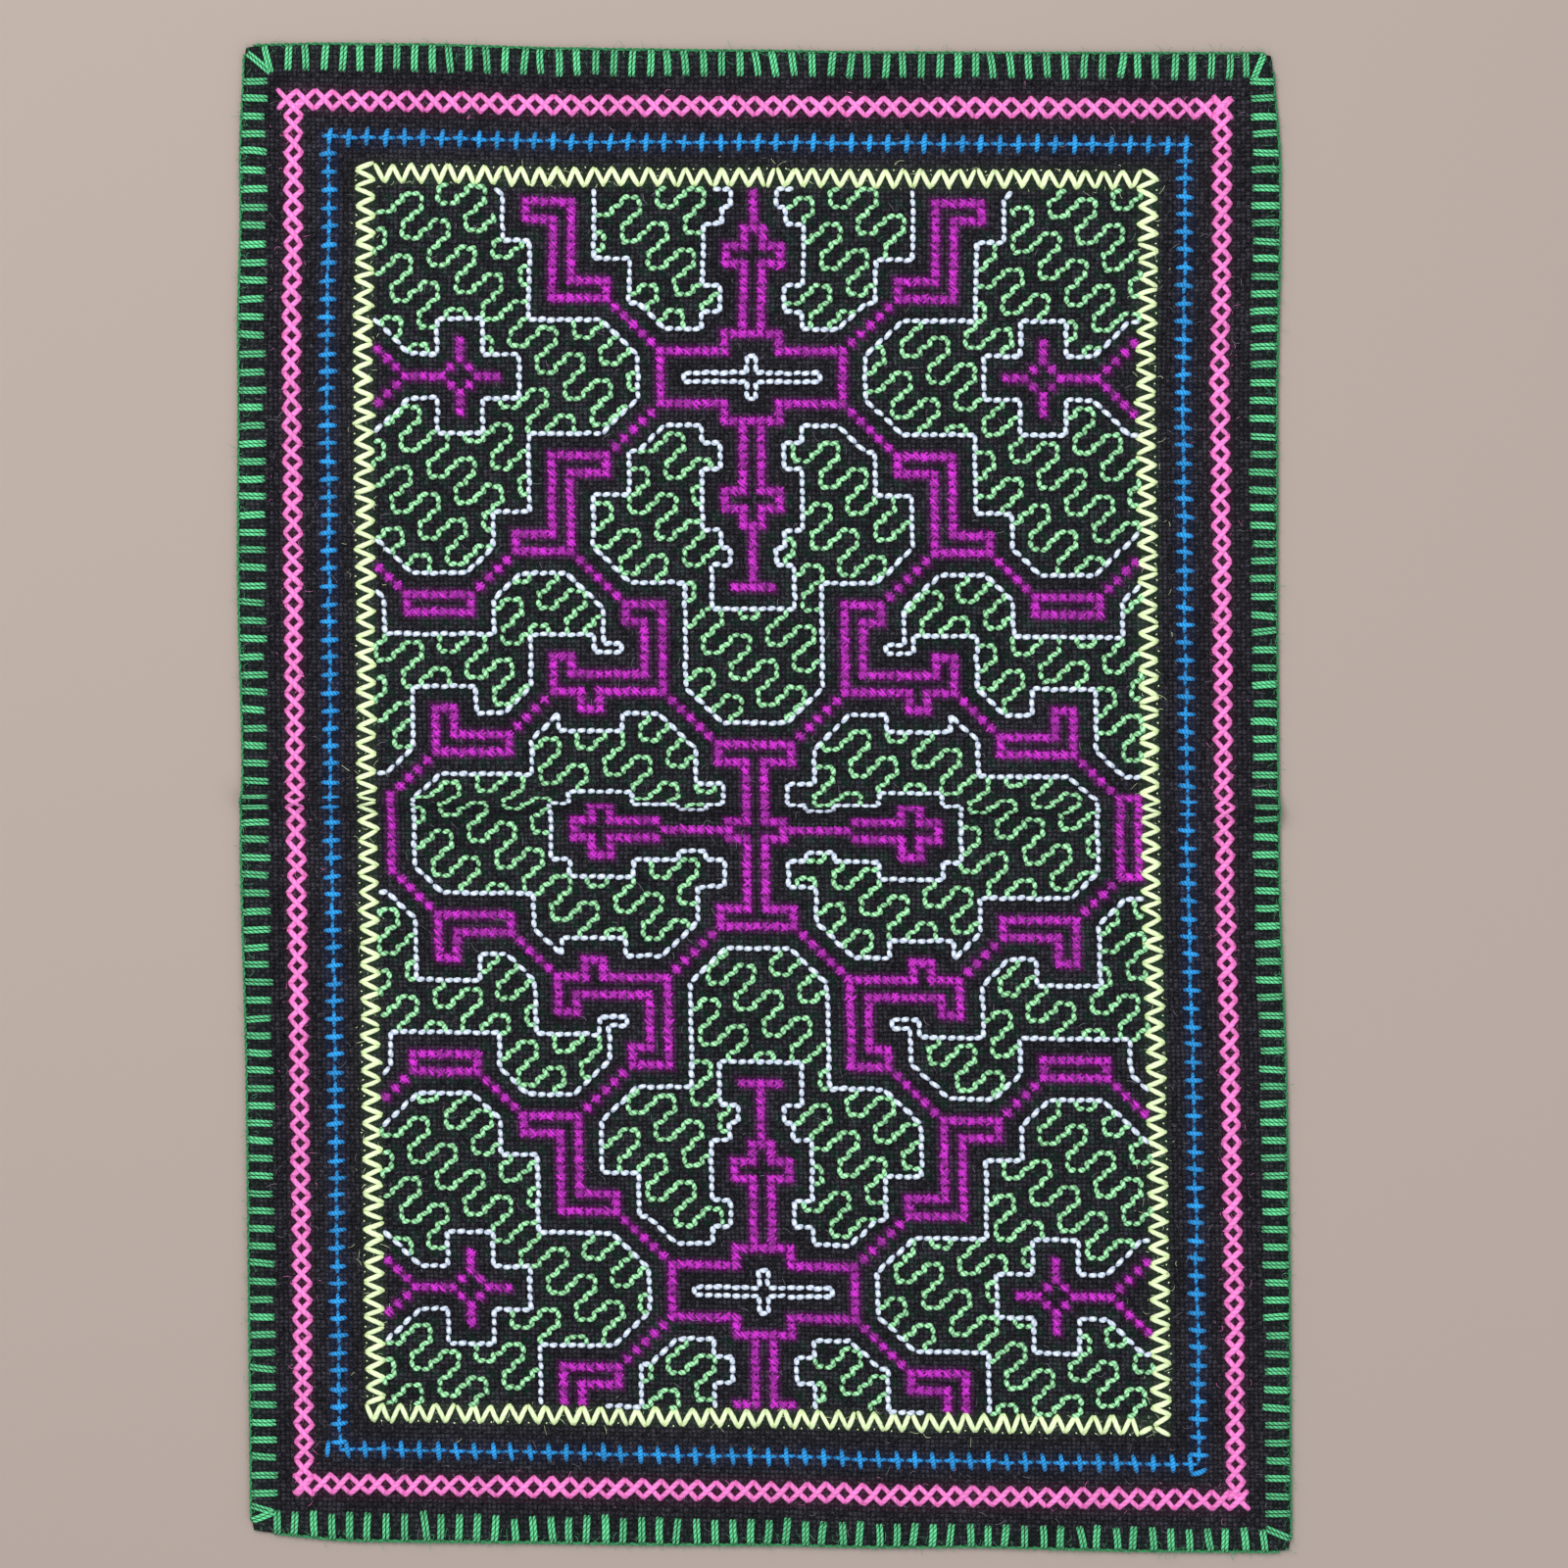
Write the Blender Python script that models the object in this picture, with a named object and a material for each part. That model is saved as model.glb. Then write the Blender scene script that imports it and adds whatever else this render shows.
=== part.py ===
"""Embroidered altar cloth laid flat: a hemmed black panel with raised yarn rows and a green worked edge.

Places on the cloth are counted in stitches, across and down from the centre of the upper cross motif.
Lengths are in metres and +Z is up.
"""
import math

import bpy

# One counted stitch of the cloth
STITCH_ACROSS = 0.00307
STITCH_DOWN = 0.00295

# The cut and hemmed panel, its rim counted in stitches
RIM = {"left": -56.2, "right": 57.45, "top": -37.15, "bottom": 134.8}
CLOTH_THICKNESS = 0.0013
HEM_THICKNESS = 0.0022
HEM_WIDTH = 3.3
HEM_STEP = 0.4
PANEL_COLUMNS = 10
ROWS_ABOVE_FOLD = 7
ROWS_BELOW_FOLD = 7

# How far each side of the rim bows out, in stitches, at shares of the side's length
RIM_BOWS = {
    "left": (
        (0.0, -0.4), (0.08, 0.05), (0.2, 0.05), (0.35, 0.25),
        (0.47, 0.0), (0.54, 0.3), (0.7, 0.0), (1.0, 0.1),
    ),
    "right": ((0.0, -0.45), (0.08, 0.3), (0.2, 0.2), (0.41, -0.05), (0.55, -0.1), (0.75, 0.05), (1.0, -0.1)),
    "top": ((0.0, -0.1), (0.1, 0.25), (0.25, 0.3), (0.5, 0.1), (0.6, 0.0), (1.0, 0.1)),
    "bottom": ((0.0, -0.15), (0.1, 0.55), (0.32, 0.45), (0.55, 0.2), (0.7, -0.1), (0.85, 0.08), (1.0, 0.0)),
}
BOW_REACH = 3.6

# The crease that stands across the cloth: each row of stitches and its share of the crease's height
FOLD_ROWS = ((46.5, 0.0), (47.5, 0.12), (48.5, 0.5), (49.5, 1.0), (50.5, 0.5), (51.5, 0.12), (52.5, 0.0))
FOLD_HEIGHT_LEFT = 0.0052
FOLD_HEIGHT_RIGHT = 0.00455
CREST_SPREAD = 1.15

# The cloth lies a little askew: its sides drift across and its rows lean
MIDDLE_ROW = 53.0
SIDE_DRIFT = 0.000036
LEAN_AT_TOP = 0.0020
LEAN_AT_BOTTOM = 0.0094

# How far the yarn's pull and the cloth's lie move places, in stitches, at shares of each side's length
SIDE_PULLS = {
    "left": ((0.0, 0.55), (0.1, 0.45), (0.2, 0.0), (0.45, -0.13), (1.0, -0.10)),
    "right": ((0.0, 0.75), (0.1, 0.55), (0.25, 0.03), (0.55, -0.05), (0.7, 0.33), (0.85, 0.42), (1.0, 0.35)),
}
ROW_PULLS = {
    "top": ((0.0, -0.75), (0.15, -0.5), (0.32, -0.05), (1.0, 0.15)),
    "bottom": ((0.0, -0.62), (0.25, -0.55), (0.5, -0.38), (0.65, -0.12), (1.0, -0.07)),
}
TOP_PULL_ENDS = 0.22
TOP_PULL_FADE = 0.16
BOTTOM_PULL_STARTS = 0.68
BOTTOM_PULL_FADE = 0.27

# Yarn pieces lie this far above the cloth, and further on the crease
SEAT_GAP = 0.0003
CREASE_GAP = 0.0006
MITRE_LIMIT = 1.6

# Rows of yarn round the field: centre lines in stitches, with the yarn's half widths and height in metres
ROWS = {
    "pink_row": {"left": -50.4, "right": 51.6, "top": -31.0, "bottom": 129.0, "height": 0.0013},
    "blue_row": {"left": -46.5, "right": 47.5, "top": -26.85, "bottom": 125.0, "height": 0.0013},
    "yellow_row": {"left": -42.7, "right": 43.6, "top": -22.5, "bottom": 120.5, "height": 0.0014},
}
PINK_WIDE = 0.0031
PINK_NARROW = 0.0015
BLUE_WIDE = 0.0029
BLUE_NARROW = 0.0008
YELLOW_SWING = 0.78
YELLOW_HALF_WIDTH = 0.0008

# Green edging: a cord on the rim with spokes, each side's given by its first and last place and its count
EDGE_CORD_HALF_WIDTH = 0.0007
EDGE_CORD_STEP = 2.1
SPOKE_LENGTH = 2.75
SPOKE_HALF_WIDTH = 0.0010
EDGE_HEIGHT = 0.0016
SPOKES = {
    "top": (-51.0, 54.1, 54),
    "right": (-34.1, 130.5, 82),
    "bottom": (-53.5, 54.2, 55),
    "left": (-33.0, 130.1, 81),
}
CORNER_SPOKES = {(1, 1): 2.8, (-1, 1): 2.0, (-1, -1): 2.0, (1, -1): 1.6}
SPOKE_OFF_CREST = 0.5

# Purple cross-stitch lines, charted for a quarter of the pattern and mirrored
PURPLE_HALF_WIDTH = 0.00128
PURPLE_END = 0.38
PURPLE_HEIGHT = 0.0011
REPEAT_ROW = 106
FIELD = {"left": -41, "right": 42, "top": -21, "bottom": 118}
LATTICE_CHART = {
    "box": ((10, 0), (10, 3), (3, 3), (3, 5), (0, 5)),
    "neck": ((1, 5), (1, 13), (3, 13), (3, 15), (1, 15), (1, 17), (0, 17)),
    "stem": ((0, 17), (0, 24), (2, 24)),
    "step from box": ((10, 3), (16, 9)),
    "long band": ((16, 9), (22, 9), (22, 18), (26, 18), (26, 20), (20, 20), (20, 11), (16, 11), (16, 9)),
    "step to hook": ((20, 20), (14, 26)),
    "hook": ((14, 26), (14, 28), (12, 28), (12, 34), (20, 34), (20, 32), (22, 32), (22, 36), (19, 36)),
    "hook tongue": ((19, 36), (19, 38), (17, 38), (17, 36), (10, 36), (10, 26), (14, 26)),
    "step to bar": ((10, 36), (4, 42)),
    "bar": ((0, 42), (4, 42), (4, 44), (1, 44), (1, 52), (3, 52), (3, 53)),
    "arm": ((3, 53), (10, 53), (11, 52), (16, 52), (16, 50), (18, 50), (18, 52), (20, 52), (20, 53)),
    "step to tablet": ((26, 20), (31, 25)),
    "tablet": ((31, 25), (38, 25), (38, 27), (31, 27), (31, 25)),
    "tablet branch": ((38, 25), (42, 21)),
    "step to foot": ((22, 36), (27, 41)),
    "foot": ((27, 41), (33, 41), (33, 38), (35, 38), (35, 43), (27, 43), (27, 41)),
    "step to post": ((35, 43), (40, 48)),
    "post": ((40, 53), (40, 48), (42, 48), (42, 53)),
}
CROSS_CHART = {
    "inner arm": ((28, 0), (30, 0), (31, 1), (32, 2)),
    "upright": ((32, 2), (32, 4)),
    "outer arm": ((32, 2), (33, 1), (34, 0), (38, 0)),
    "branch": ((38, 0), (42, 4)),
}

COLOURS = {
    "cloth": (0.017, 0.015, 0.021),
    "edge_stitching": (0.026, 0.36, 0.115),
    "pink_row": (0.95, 0.17, 0.50),
    "blue_row": (0.012, 0.27, 0.80),
    "yellow_row": (0.66, 0.86, 0.25),
    "purple_lattice": (0.50, 0.012, 0.55),
    "purple_cross": (0.50, 0.012, 0.55),
}


def eased(table, share):
    """Value of a short table of (share, value) rows, eased from row to row."""
    share = min(max(share, table[0][0]), table[-1][0])
    for (start, low), (end, high) in zip(table, table[1:]):
        if share <= end:
            turn = math.pi * (share - start) / (end - start)
            return low + (high - low) * (1 - math.cos(turn)) / 2
    return table[-1][1]


def bowed(across, down):
    """A place near the rim, moved out by the bow of its sides."""
    share_across = (across - RIM["left"]) / (RIM["right"] - RIM["left"])
    share_down = (down - RIM["top"]) / (RIM["bottom"] - RIM["top"])
    reach = {
        "left": RIM["left"] + BOW_REACH - across,
        "right": across - RIM["right"] + BOW_REACH,
        "top": RIM["top"] + BOW_REACH - down,
        "bottom": down - RIM["bottom"] + BOW_REACH,
    }
    pull = {side: min(max(reach[side] / BOW_REACH, 0.0), 1.1) for side in reach}
    across += pull["right"] * eased(RIM_BOWS["right"], share_down)
    across -= pull["left"] * eased(RIM_BOWS["left"], share_down)
    down += pull["bottom"] * eased(RIM_BOWS["bottom"], share_across)
    down -= pull["top"] * eased(RIM_BOWS["top"], share_across)
    return across, down


def pulled(across, down):
    """A place moved by the uneven pull of the cloth as it lies."""
    share_across = (across - RIM["left"]) / (RIM["right"] - RIM["left"])
    share_down = (down - RIM["top"]) / (RIM["bottom"] - RIM["top"])
    left, right = (eased(SIDE_PULLS[side], share_down) for side in ("left", "right"))
    near_top = min(max((TOP_PULL_ENDS - share_down) / TOP_PULL_FADE, 0.0), 1.0)
    near_bottom = min(max((share_down - BOTTOM_PULL_STARTS) / BOTTOM_PULL_FADE, 0.0), 1.0)
    down += near_top * eased(ROW_PULLS["top"], share_across)
    down += near_bottom * eased(ROW_PULLS["bottom"], share_across)
    return across + left + (right - left) * share_across, down


def crease_section(across):
    """The crease at one place across: rows of (row, distance back, height, lift back, lift up)."""
    share = (across - RIM["left"]) / (RIM["right"] - RIM["left"])
    full_height = FOLD_HEIGHT_LEFT + share * (FOLD_HEIGHT_RIGHT - FOLD_HEIGHT_LEFT)
    places = []
    back = 0.0
    row_before, part_before = FOLD_ROWS[0]
    for row, part in FOLD_ROWS:
        length = (row - row_before) * STITCH_DOWN
        rise = (part - part_before) * full_height
        back += math.sqrt(length * length - rise * rise)
        places.append((row, back, part * full_height))
        row_before, part_before = row, part
    section = []
    for index, (row, back, height) in enumerate(places):
        normals = []
        for first, second in ((index - 1, index), (index, index + 1)):
            run, rise = 1.0, 0.0
            if first >= 0 and second < len(places):
                run = places[second][1] - places[first][1]
                rise = places[second][2] - places[first][2]
            size = math.hypot(run, rise)
            normals.append((-rise / size, run / size))
        mean_back = (normals[0][0] + normals[1][0]) / 2
        mean_up = (normals[0][1] + normals[1][1]) / 2
        size = math.hypot(mean_back, mean_up)
        spread = min(1 / size, CREST_SPREAD)
        section.append((row, back, height, mean_back / size * spread, mean_up / size * spread))
    return section


def lie(across, down, lift):
    """Where a counted place lies, raised from the underside of the cloth by the lift."""
    across, down = pulled(*bowed(across, down))
    section = crease_section(across)
    first, last = section[0], section[-1]
    if down <= first[0]:
        back = (down - first[0]) * STITCH_DOWN
        height = lift
    elif down >= last[0]:
        back = last[1] + (down - last[0]) * STITCH_DOWN
        height = lift
    else:
        for before, after in zip(section, section[1:]):
            if down <= after[0]:
                share = (down - before[0]) / (after[0] - before[0])
                mixed = [a + (b - a) * share for a, b in zip(before, after)]
                back = mixed[1] + mixed[3] * lift
                height = mixed[2] + mixed[4] * lift
                break
    share_down = (down - RIM["top"]) / (RIM["bottom"] - RIM["top"])
    lean = LEAN_AT_TOP + share_down * (LEAN_AT_BOTTOM - LEAN_AT_TOP)
    x = across * STITCH_ACROSS + (down - MIDDLE_ROW) * SIDE_DRIFT
    return x, -back - lean * x, height


def on_crease(down):
    """True where a row of stitches lies on the crease."""
    return FOLD_ROWS[0][0] - 0.6 <= down <= FOLD_ROWS[-1][0] + 0.6


def new_material(name, colour, roughness):
    """A plain Principled material."""
    material = bpy.data.materials.new(name)
    material.use_nodes = True
    shader = material.node_tree.nodes["Principled BSDF"]
    shader.inputs["Base Color"].default_value = (*colour, 1.0)
    shader.inputs["Roughness"].default_value = roughness
    shader.inputs["Metallic"].default_value = 0.0
    material.diffuse_color = (*colour, 1.0)
    return material


def new_piece(name, points, faces, colour):
    """A mesh object with its own material."""
    mesh = bpy.data.meshes.new(name)
    mesh.from_pydata(points, [], faces)
    mesh.validate()
    mesh.materials.append(new_material(name, colour, 0.9))
    piece = bpy.data.objects.new(name, mesh)
    bpy.context.scene.collection.objects.link(piece)
    return piece


def spaced(start, end, count):
    """Evenly spaced numbers from start to end."""
    return [start + (end - start) * step / count for step in range(count + 1)]


def panel_lines():
    """The columns and rows that the panel's surface is built on, each with its thickness."""
    lines = []
    for low, high in (("left", "right"), ("top", "bottom")):
        hem_start, hem_end = RIM[low] + HEM_WIDTH, RIM[high] - HEM_WIDTH
        first, last = hem_start + HEM_STEP, hem_end - HEM_STEP
        if low == "left":
            inner = spaced(first, last, PANEL_COLUMNS)
        else:
            inner = spaced(first, FOLD_ROWS[0][0], ROWS_ABOVE_FOLD)[:-1]
            inner += [row for row, part in FOLD_ROWS]
            inner += spaced(FOLD_ROWS[-1][0], last, ROWS_BELOW_FOLD)[1:]
        hemmed = [RIM[low], hem_start]
        line = [(place, HEM_THICKNESS) for place in hemmed]
        line += [(place, CLOTH_THICKNESS) for place in inner]
        line += [(place, HEM_THICKNESS) for place in (hem_end, RIM[high])]
        lines.append(line)
    return lines


def build_cloth():
    """The hemmed panel: one closed sheet that rests on its underside and stands up in the crease."""
    columns, rows = panel_lines()
    points = []
    for down, row_thickness in rows:
        for across, column_thickness in columns:
            thickness = max(row_thickness, column_thickness)
            points.append(lie(across, down, 0.0))
            points.append(lie(across, down, thickness))
    width = len(columns)

    def corner(row, column, side):
        return 2 * (row * width + column) + side

    faces = []
    for row in range(len(rows) - 1):
        for column in range(width - 1):
            ring = [(row, column), (row + 1, column), (row + 1, column + 1), (row, column + 1)]
            faces.append([corner(r, c, 1) for r, c in ring])
            faces.append([corner(r, c, 0) for r, c in reversed(ring)])
    rim = [(0, column) for column in range(width)]
    rim += [(row, width - 1) for row in range(1, len(rows))]
    rim += [(len(rows) - 1, column) for column in range(width - 2, -1, -1)]
    rim += [(row, 0) for row in range(len(rows) - 2, 0, -1)]
    for here, there in zip(rim, rim[1:] + rim[:1]):
        faces.append([corner(*here, 0), corner(*here, 1), corner(*there, 1), corner(*there, 0)])
    return new_piece("cloth", points, faces, COLOURS["cloth"])


def split_at_crease(points, links, widths):
    """Adds a point wherever a link runs over a bend of the crease."""
    split = []
    for start, end in links:
        low, high = sorted((points[start][1], points[end][1]))
        bends = [row for row, part in FOLD_ROWS if low + 0.01 < row < high - 0.01]
        if points[start][1] > points[end][1]:
            bends.reverse()
        last = start
        for row in bends:
            share = (row - points[start][1]) / (points[end][1] - points[start][1])
            across = points[start][0] + share * (points[end][0] - points[start][0])
            points.append((across, row))
            widths.append(widths[start] + share * (widths[end] - widths[start]))
            split.append((last, len(points) - 1))
            last = len(points) - 1
        split.append((last, end))
    return split


def raised_lines(name, points, links, widths, height, thickness, end_reach, colour):
    """One body for a net of yarn lines: a flat underside, and two slopes up to a crest along each link."""
    points, widths = list(points), list(widths)
    links = split_at_crease(points, links, widths)
    flat = [(across * STITCH_ACROSS, -down * STITCH_DOWN) for across, down in points]
    around = {index: [] for index in range(len(points))}
    for start, end in links:
        around[start].append(end)
        around[end].append(start)
    vertices, corners, faces = [], {}, []

    def raise_point(place, down, lift):
        gap = CREASE_GAP if on_crease(down) else SEAT_GAP
        vertices.append(lie(place[0] / STITCH_ACROSS, -place[1] / STITCH_DOWN, thickness + gap + lift))
        return len(vertices) - 1

    crests = [raise_point(place, points[index][1], height) for index, place in enumerate(flat)]
    for index, place in enumerate(flat):
        bearing = {}
        for other in around[index]:
            bearing[other] = math.atan2(flat[other][1] - place[1], flat[other][0] - place[0])
        ordered = sorted(around[index], key=bearing.get)
        half = widths[index]
        if len(ordered) == 1:
            only = ordered[0]
            ahead = (math.cos(bearing[only]), math.sin(bearing[only]))
            for side, sign in (("left", 1), ("right", -1)):
                x = place[0] - ahead[0] * end_reach - sign * ahead[1] * half
                y = place[1] - ahead[1] * end_reach + sign * ahead[0] * half
                corners[index, only, side] = raise_point((x, y), points[index][1], 0.0)
            faces.append((crests[index], corners[index, only, "left"], corners[index, only, "right"]))
            continue
        ring = []
        for here, there in zip(ordered, ordered[1:] + ordered[:1]):
            opening = (bearing[there] - bearing[here]) % math.tau
            reach = half * min(1 / math.sin(opening / 2), MITRE_LIMIT)
            middle = bearing[here] + opening / 2
            spot = (place[0] + reach * math.cos(middle), place[1] + reach * math.sin(middle))
            corner = raise_point(spot, points[index][1], 0.0)
            corners[index, here, "left"] = corner
            corners[index, there, "right"] = corner
            ring.append(corner)
        if len(ring) > 2:
            faces.append(tuple(reversed(ring)))
    for start, end in links:
        left_start, right_start = corners[start, end, "left"], corners[start, end, "right"]
        left_end, right_end = corners[end, start, "right"], corners[end, start, "left"]
        faces.append((crests[start], crests[end], left_end, left_start))
        faces.append((crests[end], crests[start], right_start, right_end))
        faces.append((left_start, left_end, right_end, right_start))
    return new_piece(name, vertices, faces, colour)


def ring_places(row, step):
    """Places round a rectangle of stitches, with the side each belongs to and its count along the ring."""
    across = round((row["right"] - row["left"]) / step)
    down = round((row["bottom"] - row["top"]) / step)
    places = [(place, row["top"], 0, -1) for place in spaced(row["left"], row["right"], across)[:-1]]
    places += [(row["right"], place, 1, 0) for place in spaced(row["top"], row["bottom"], down)[:-1]]
    places += [(place, row["bottom"], 0, 1) for place in spaced(row["right"], row["left"], across)[:-1]]
    places += [(row["left"], place, -1, 0) for place in spaced(row["bottom"], row["top"], down)[:-1]]
    corners = {0: (-1, -1), across: (1, -1), across + down: (1, 1), 2 * across + down: (-1, 1)}
    return [(*place[:2], *corners.get(index, place[2:])) for index, place in enumerate(places)]


def ring_links(count):
    """Links that close a ring of points."""
    return [(index, (index + 1) % count) for index in range(count)]


def build_serrated_row(name, wide, narrow):
    """A row of yarn whose edges swell at every second stitch."""
    row = ROWS[name]
    places = ring_places(row, 1.0)
    points = [(across, down) for across, down, *side in places]
    widths = [narrow if index % 2 else wide for index in range(len(points))]
    links = ring_links(len(points))
    return raised_lines(name, points, links, widths, row["height"], CLOTH_THICKNESS, 0.0, COLOURS[name])


def build_zigzag_row():
    """The yellow row: one line of yarn that swings in and out at each stitch."""
    row = ROWS["yellow_row"]
    points = []
    for index, (across, down, side_x, side_y) in enumerate(ring_places(row, 1.0)):
        swing = YELLOW_SWING if index % 2 == 0 else -YELLOW_SWING
        points.append((across + side_x * swing, down + side_y * swing))
    widths = [YELLOW_HALF_WIDTH] * len(points)
    links = ring_links(len(points))
    colour = COLOURS["yellow_row"]
    return raised_lines("yellow_row", points, links, widths, row["height"], CLOTH_THICKNESS, 0.0, colour)


def edge_places(side):
    """Places of the edge cord along a side, each with 1 where a spoke starts or 0 in a gap at a corner."""
    first, last, count = SPOKES[side]
    low, high = (RIM["left"], RIM["right"]) if side in ("top", "bottom") else (RIM["top"], RIM["bottom"])
    gap_before = spaced(low, first, math.ceil((first - low) / EDGE_CORD_STEP))[1:-1]
    gap_after = spaced(last, high, math.ceil((high - last) / EDGE_CORD_STEP))[1:-1]
    crest = max(FOLD_ROWS, key=lambda row: row[1])[0]
    places = [(place, 0) for place in gap_before]
    for place in spaced(first, last, count - 1):
        if side in ("left", "right") and abs(place - crest) < SPOKE_OFF_CREST:
            place = crest + math.copysign(SPOKE_OFF_CREST, place - crest)
        places.append((place, 1))
    return places + [(place, 0) for place in gap_after]


def build_edging():
    """The green edging: a cord round the rim and its spokes, one at about every second stitch."""
    left, right, top, bottom = (RIM[side] for side in ("left", "right", "top", "bottom"))
    rim = [(left, top, 1, 1)] + [(place, top, 0, spoke) for place, spoke in edge_places("top")]
    rim += [(right, top, -1, 1)] + [(right, place, -spoke, 0) for place, spoke in edge_places("right")]
    rim += [(right, bottom, -1, -1)]
    rim += [(place, bottom, 0, -spoke) for place, spoke in reversed(edge_places("bottom"))]
    rim += [(left, bottom, 1, -1)]
    rim += [(left, place, spoke, 0) for place, spoke in reversed(edge_places("left"))]
    points = [(x, y) for x, y, *inward in rim]
    widths = [EDGE_CORD_HALF_WIDTH] * len(points)
    links = ring_links(len(points))
    for index, (x, y, inward_x, inward_y) in enumerate(rim):
        if inward_x == 0 and inward_y == 0:
            continue
        length = CORNER_SPOKES.get((inward_x, inward_y), SPOKE_LENGTH)
        points.append((x + inward_x * length, y + inward_y * length))
        widths.append(SPOKE_HALF_WIDTH)
        links.append((index, len(points) - 1))
    colour = COLOURS["edge_stitching"]
    return raised_lines("edge_stitching", points, links, widths, EDGE_HEIGHT, HEM_THICKNESS, 0.0002, colour)


def chart_steps(chart):
    """The single steps, one stitch long, of the charted lines of a quarter."""
    steps = set()
    for line in chart.values():
        for (x, y), (end_x, end_y) in zip(line, line[1:]):
            count = max(abs(end_x - x), abs(end_y - y))
            step_x, step_y = (end_x - x) // count, (end_y - y) // count
            for step in range(count):
                here = (x + step * step_x, y + step * step_y)
                there = (here[0] + step_x, here[1] + step_y)
                steps.add((here, there))
    return steps


def mirrored(steps, sides, starts):
    """The steps of a quarter, turned over the chosen sides and row starts, and kept inside the field."""
    kept = set()
    for side in sides:
        for start, direction in starts:
            for pair in steps:
                turned = [(side * x, start + direction * y) for x, y in pair]
                inside = all(
                    FIELD["left"] <= x <= FIELD["right"] and FIELD["top"] <= y <= FIELD["bottom"]
                    for x, y in turned
                )
                if inside:
                    kept.add(tuple(sorted(turned)))
    return sorted(kept)


def straightened(steps):
    """Points and links of a net of single steps, with the points inside straight runs taken out."""
    around = {}
    for here, there in steps:
        around.setdefault(here, set()).add(there)
        around.setdefault(there, set()).add(here)
    for place in sorted(around):
        near = sorted(around[place])
        if len(near) != 2:
            continue
        (ax, ay), (bx, by) = near
        turn = (ax - place[0]) * (by - place[1]) - (ay - place[1]) * (bx - place[0])
        if turn == 0:
            around[near[0]].discard(place)
            around[near[1]].discard(place)
            around[near[0]].add(near[1])
            around[near[1]].add(near[0])
            del around[place]
    points = sorted(around)
    number = {place: index for index, place in enumerate(points)}
    links = []
    for here in points:
        links += [(number[here], number[there]) for there in sorted(around[here]) if here < there]
    return points, links


def build_stitched_lines(name, chart, sides, starts, colour):
    """Purple cross-stitch lines from a charted quarter."""
    points, links = straightened(mirrored(chart_steps(chart), sides, starts))
    widths = [PURPLE_HALF_WIDTH] * len(points)
    reach = PURPLE_END * STITCH_ACROSS
    return raised_lines(name, points, links, widths, PURPLE_HEIGHT, CLOTH_THICKNESS, reach, colour)


def centre_pieces(pieces):
    """Moves the pieces so that the origin is under the middle of the cloth."""
    corners = [vertex.co for piece in pieces for vertex in piece.data.vertices]
    middle = [(min(c[axis] for c in corners) + max(c[axis] for c in corners)) / 2 for axis in (0, 1)]
    lowest = min(c[2] for c in corners)
    for piece in pieces:
        piece.location = (-middle[0], -middle[1], -lowest)


def build():
    """Clears the file and builds every piece."""
    for piece in list(bpy.data.objects):
        bpy.data.objects.remove(piece, do_unlink=True)
    pieces = [build_cloth(), build_edging()]
    pieces.append(build_serrated_row("pink_row", PINK_WIDE, PINK_NARROW))
    pieces.append(build_serrated_row("blue_row", BLUE_WIDE, BLUE_NARROW))
    pieces.append(build_zigzag_row())
    whole = ((0, 1), (0, -1), (REPEAT_ROW, -1), (REPEAT_ROW, 1))
    colour = COLOURS["purple_lattice"]
    pieces.append(build_stitched_lines("purple_lattice", LATTICE_CHART, (1, -1), whole, colour))
    number = 1
    for middle_row in (0, REPEAT_ROW):
        for side in (-1, 1):
            starts = ((middle_row, 1), (middle_row, -1))
            name = f"purple_cross_{number}"
            colour = COLOURS["purple_cross"]
            pieces.append(build_stitched_lines(name, CROSS_CHART, (side,), starts, colour))
            number += 1
    centre_pieces(pieces)


build()
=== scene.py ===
"""Dresses the embroidered altar cloth: black evenweave worked in yarn, on a pale floor.

Places on the cloth are counted in stitches, across and down from the centre of the upper cross motif,
as in the model. Lengths are in metres and +Z is up.
"""
import math

import bpy
import numpy as np
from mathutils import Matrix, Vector


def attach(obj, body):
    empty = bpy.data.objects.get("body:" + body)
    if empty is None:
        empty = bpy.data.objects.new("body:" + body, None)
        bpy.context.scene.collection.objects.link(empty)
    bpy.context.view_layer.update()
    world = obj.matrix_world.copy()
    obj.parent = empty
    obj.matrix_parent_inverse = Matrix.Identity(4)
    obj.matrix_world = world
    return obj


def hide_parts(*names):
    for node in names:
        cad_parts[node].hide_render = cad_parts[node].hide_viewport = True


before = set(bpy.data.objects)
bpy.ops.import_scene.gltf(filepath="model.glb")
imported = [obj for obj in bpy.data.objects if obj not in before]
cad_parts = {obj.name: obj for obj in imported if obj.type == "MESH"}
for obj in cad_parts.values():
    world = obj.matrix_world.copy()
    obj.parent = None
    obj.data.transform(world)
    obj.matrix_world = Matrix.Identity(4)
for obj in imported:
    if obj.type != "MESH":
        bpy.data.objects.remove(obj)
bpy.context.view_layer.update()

# One counted stitch of the cloth, and where the count starts
STITCH_ACROSS = 0.00307
STITCH_DOWN = 0.00295
CENTRE_SHIFT = (-0.0026657, 0.0045390)

# The hemmed panel: its rim and the widths at the hem in stitches, and how the cloth puckers inside it
RIM = {"left": -56.2, "right": 57.45, "top": -37.15, "bottom": 134.8}
CLOTH_THICKNESS = 0.0013
HEM_THICKNESS = 0.0022
HEM_WIDTH = 3.3
HEM_STEP = 0.4
HEM_ROLL = 0.35
HEM_LINE_CLEARANCE = 0.3
PUCKER = 0.00005
PUCKER_FROM = 4

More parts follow.
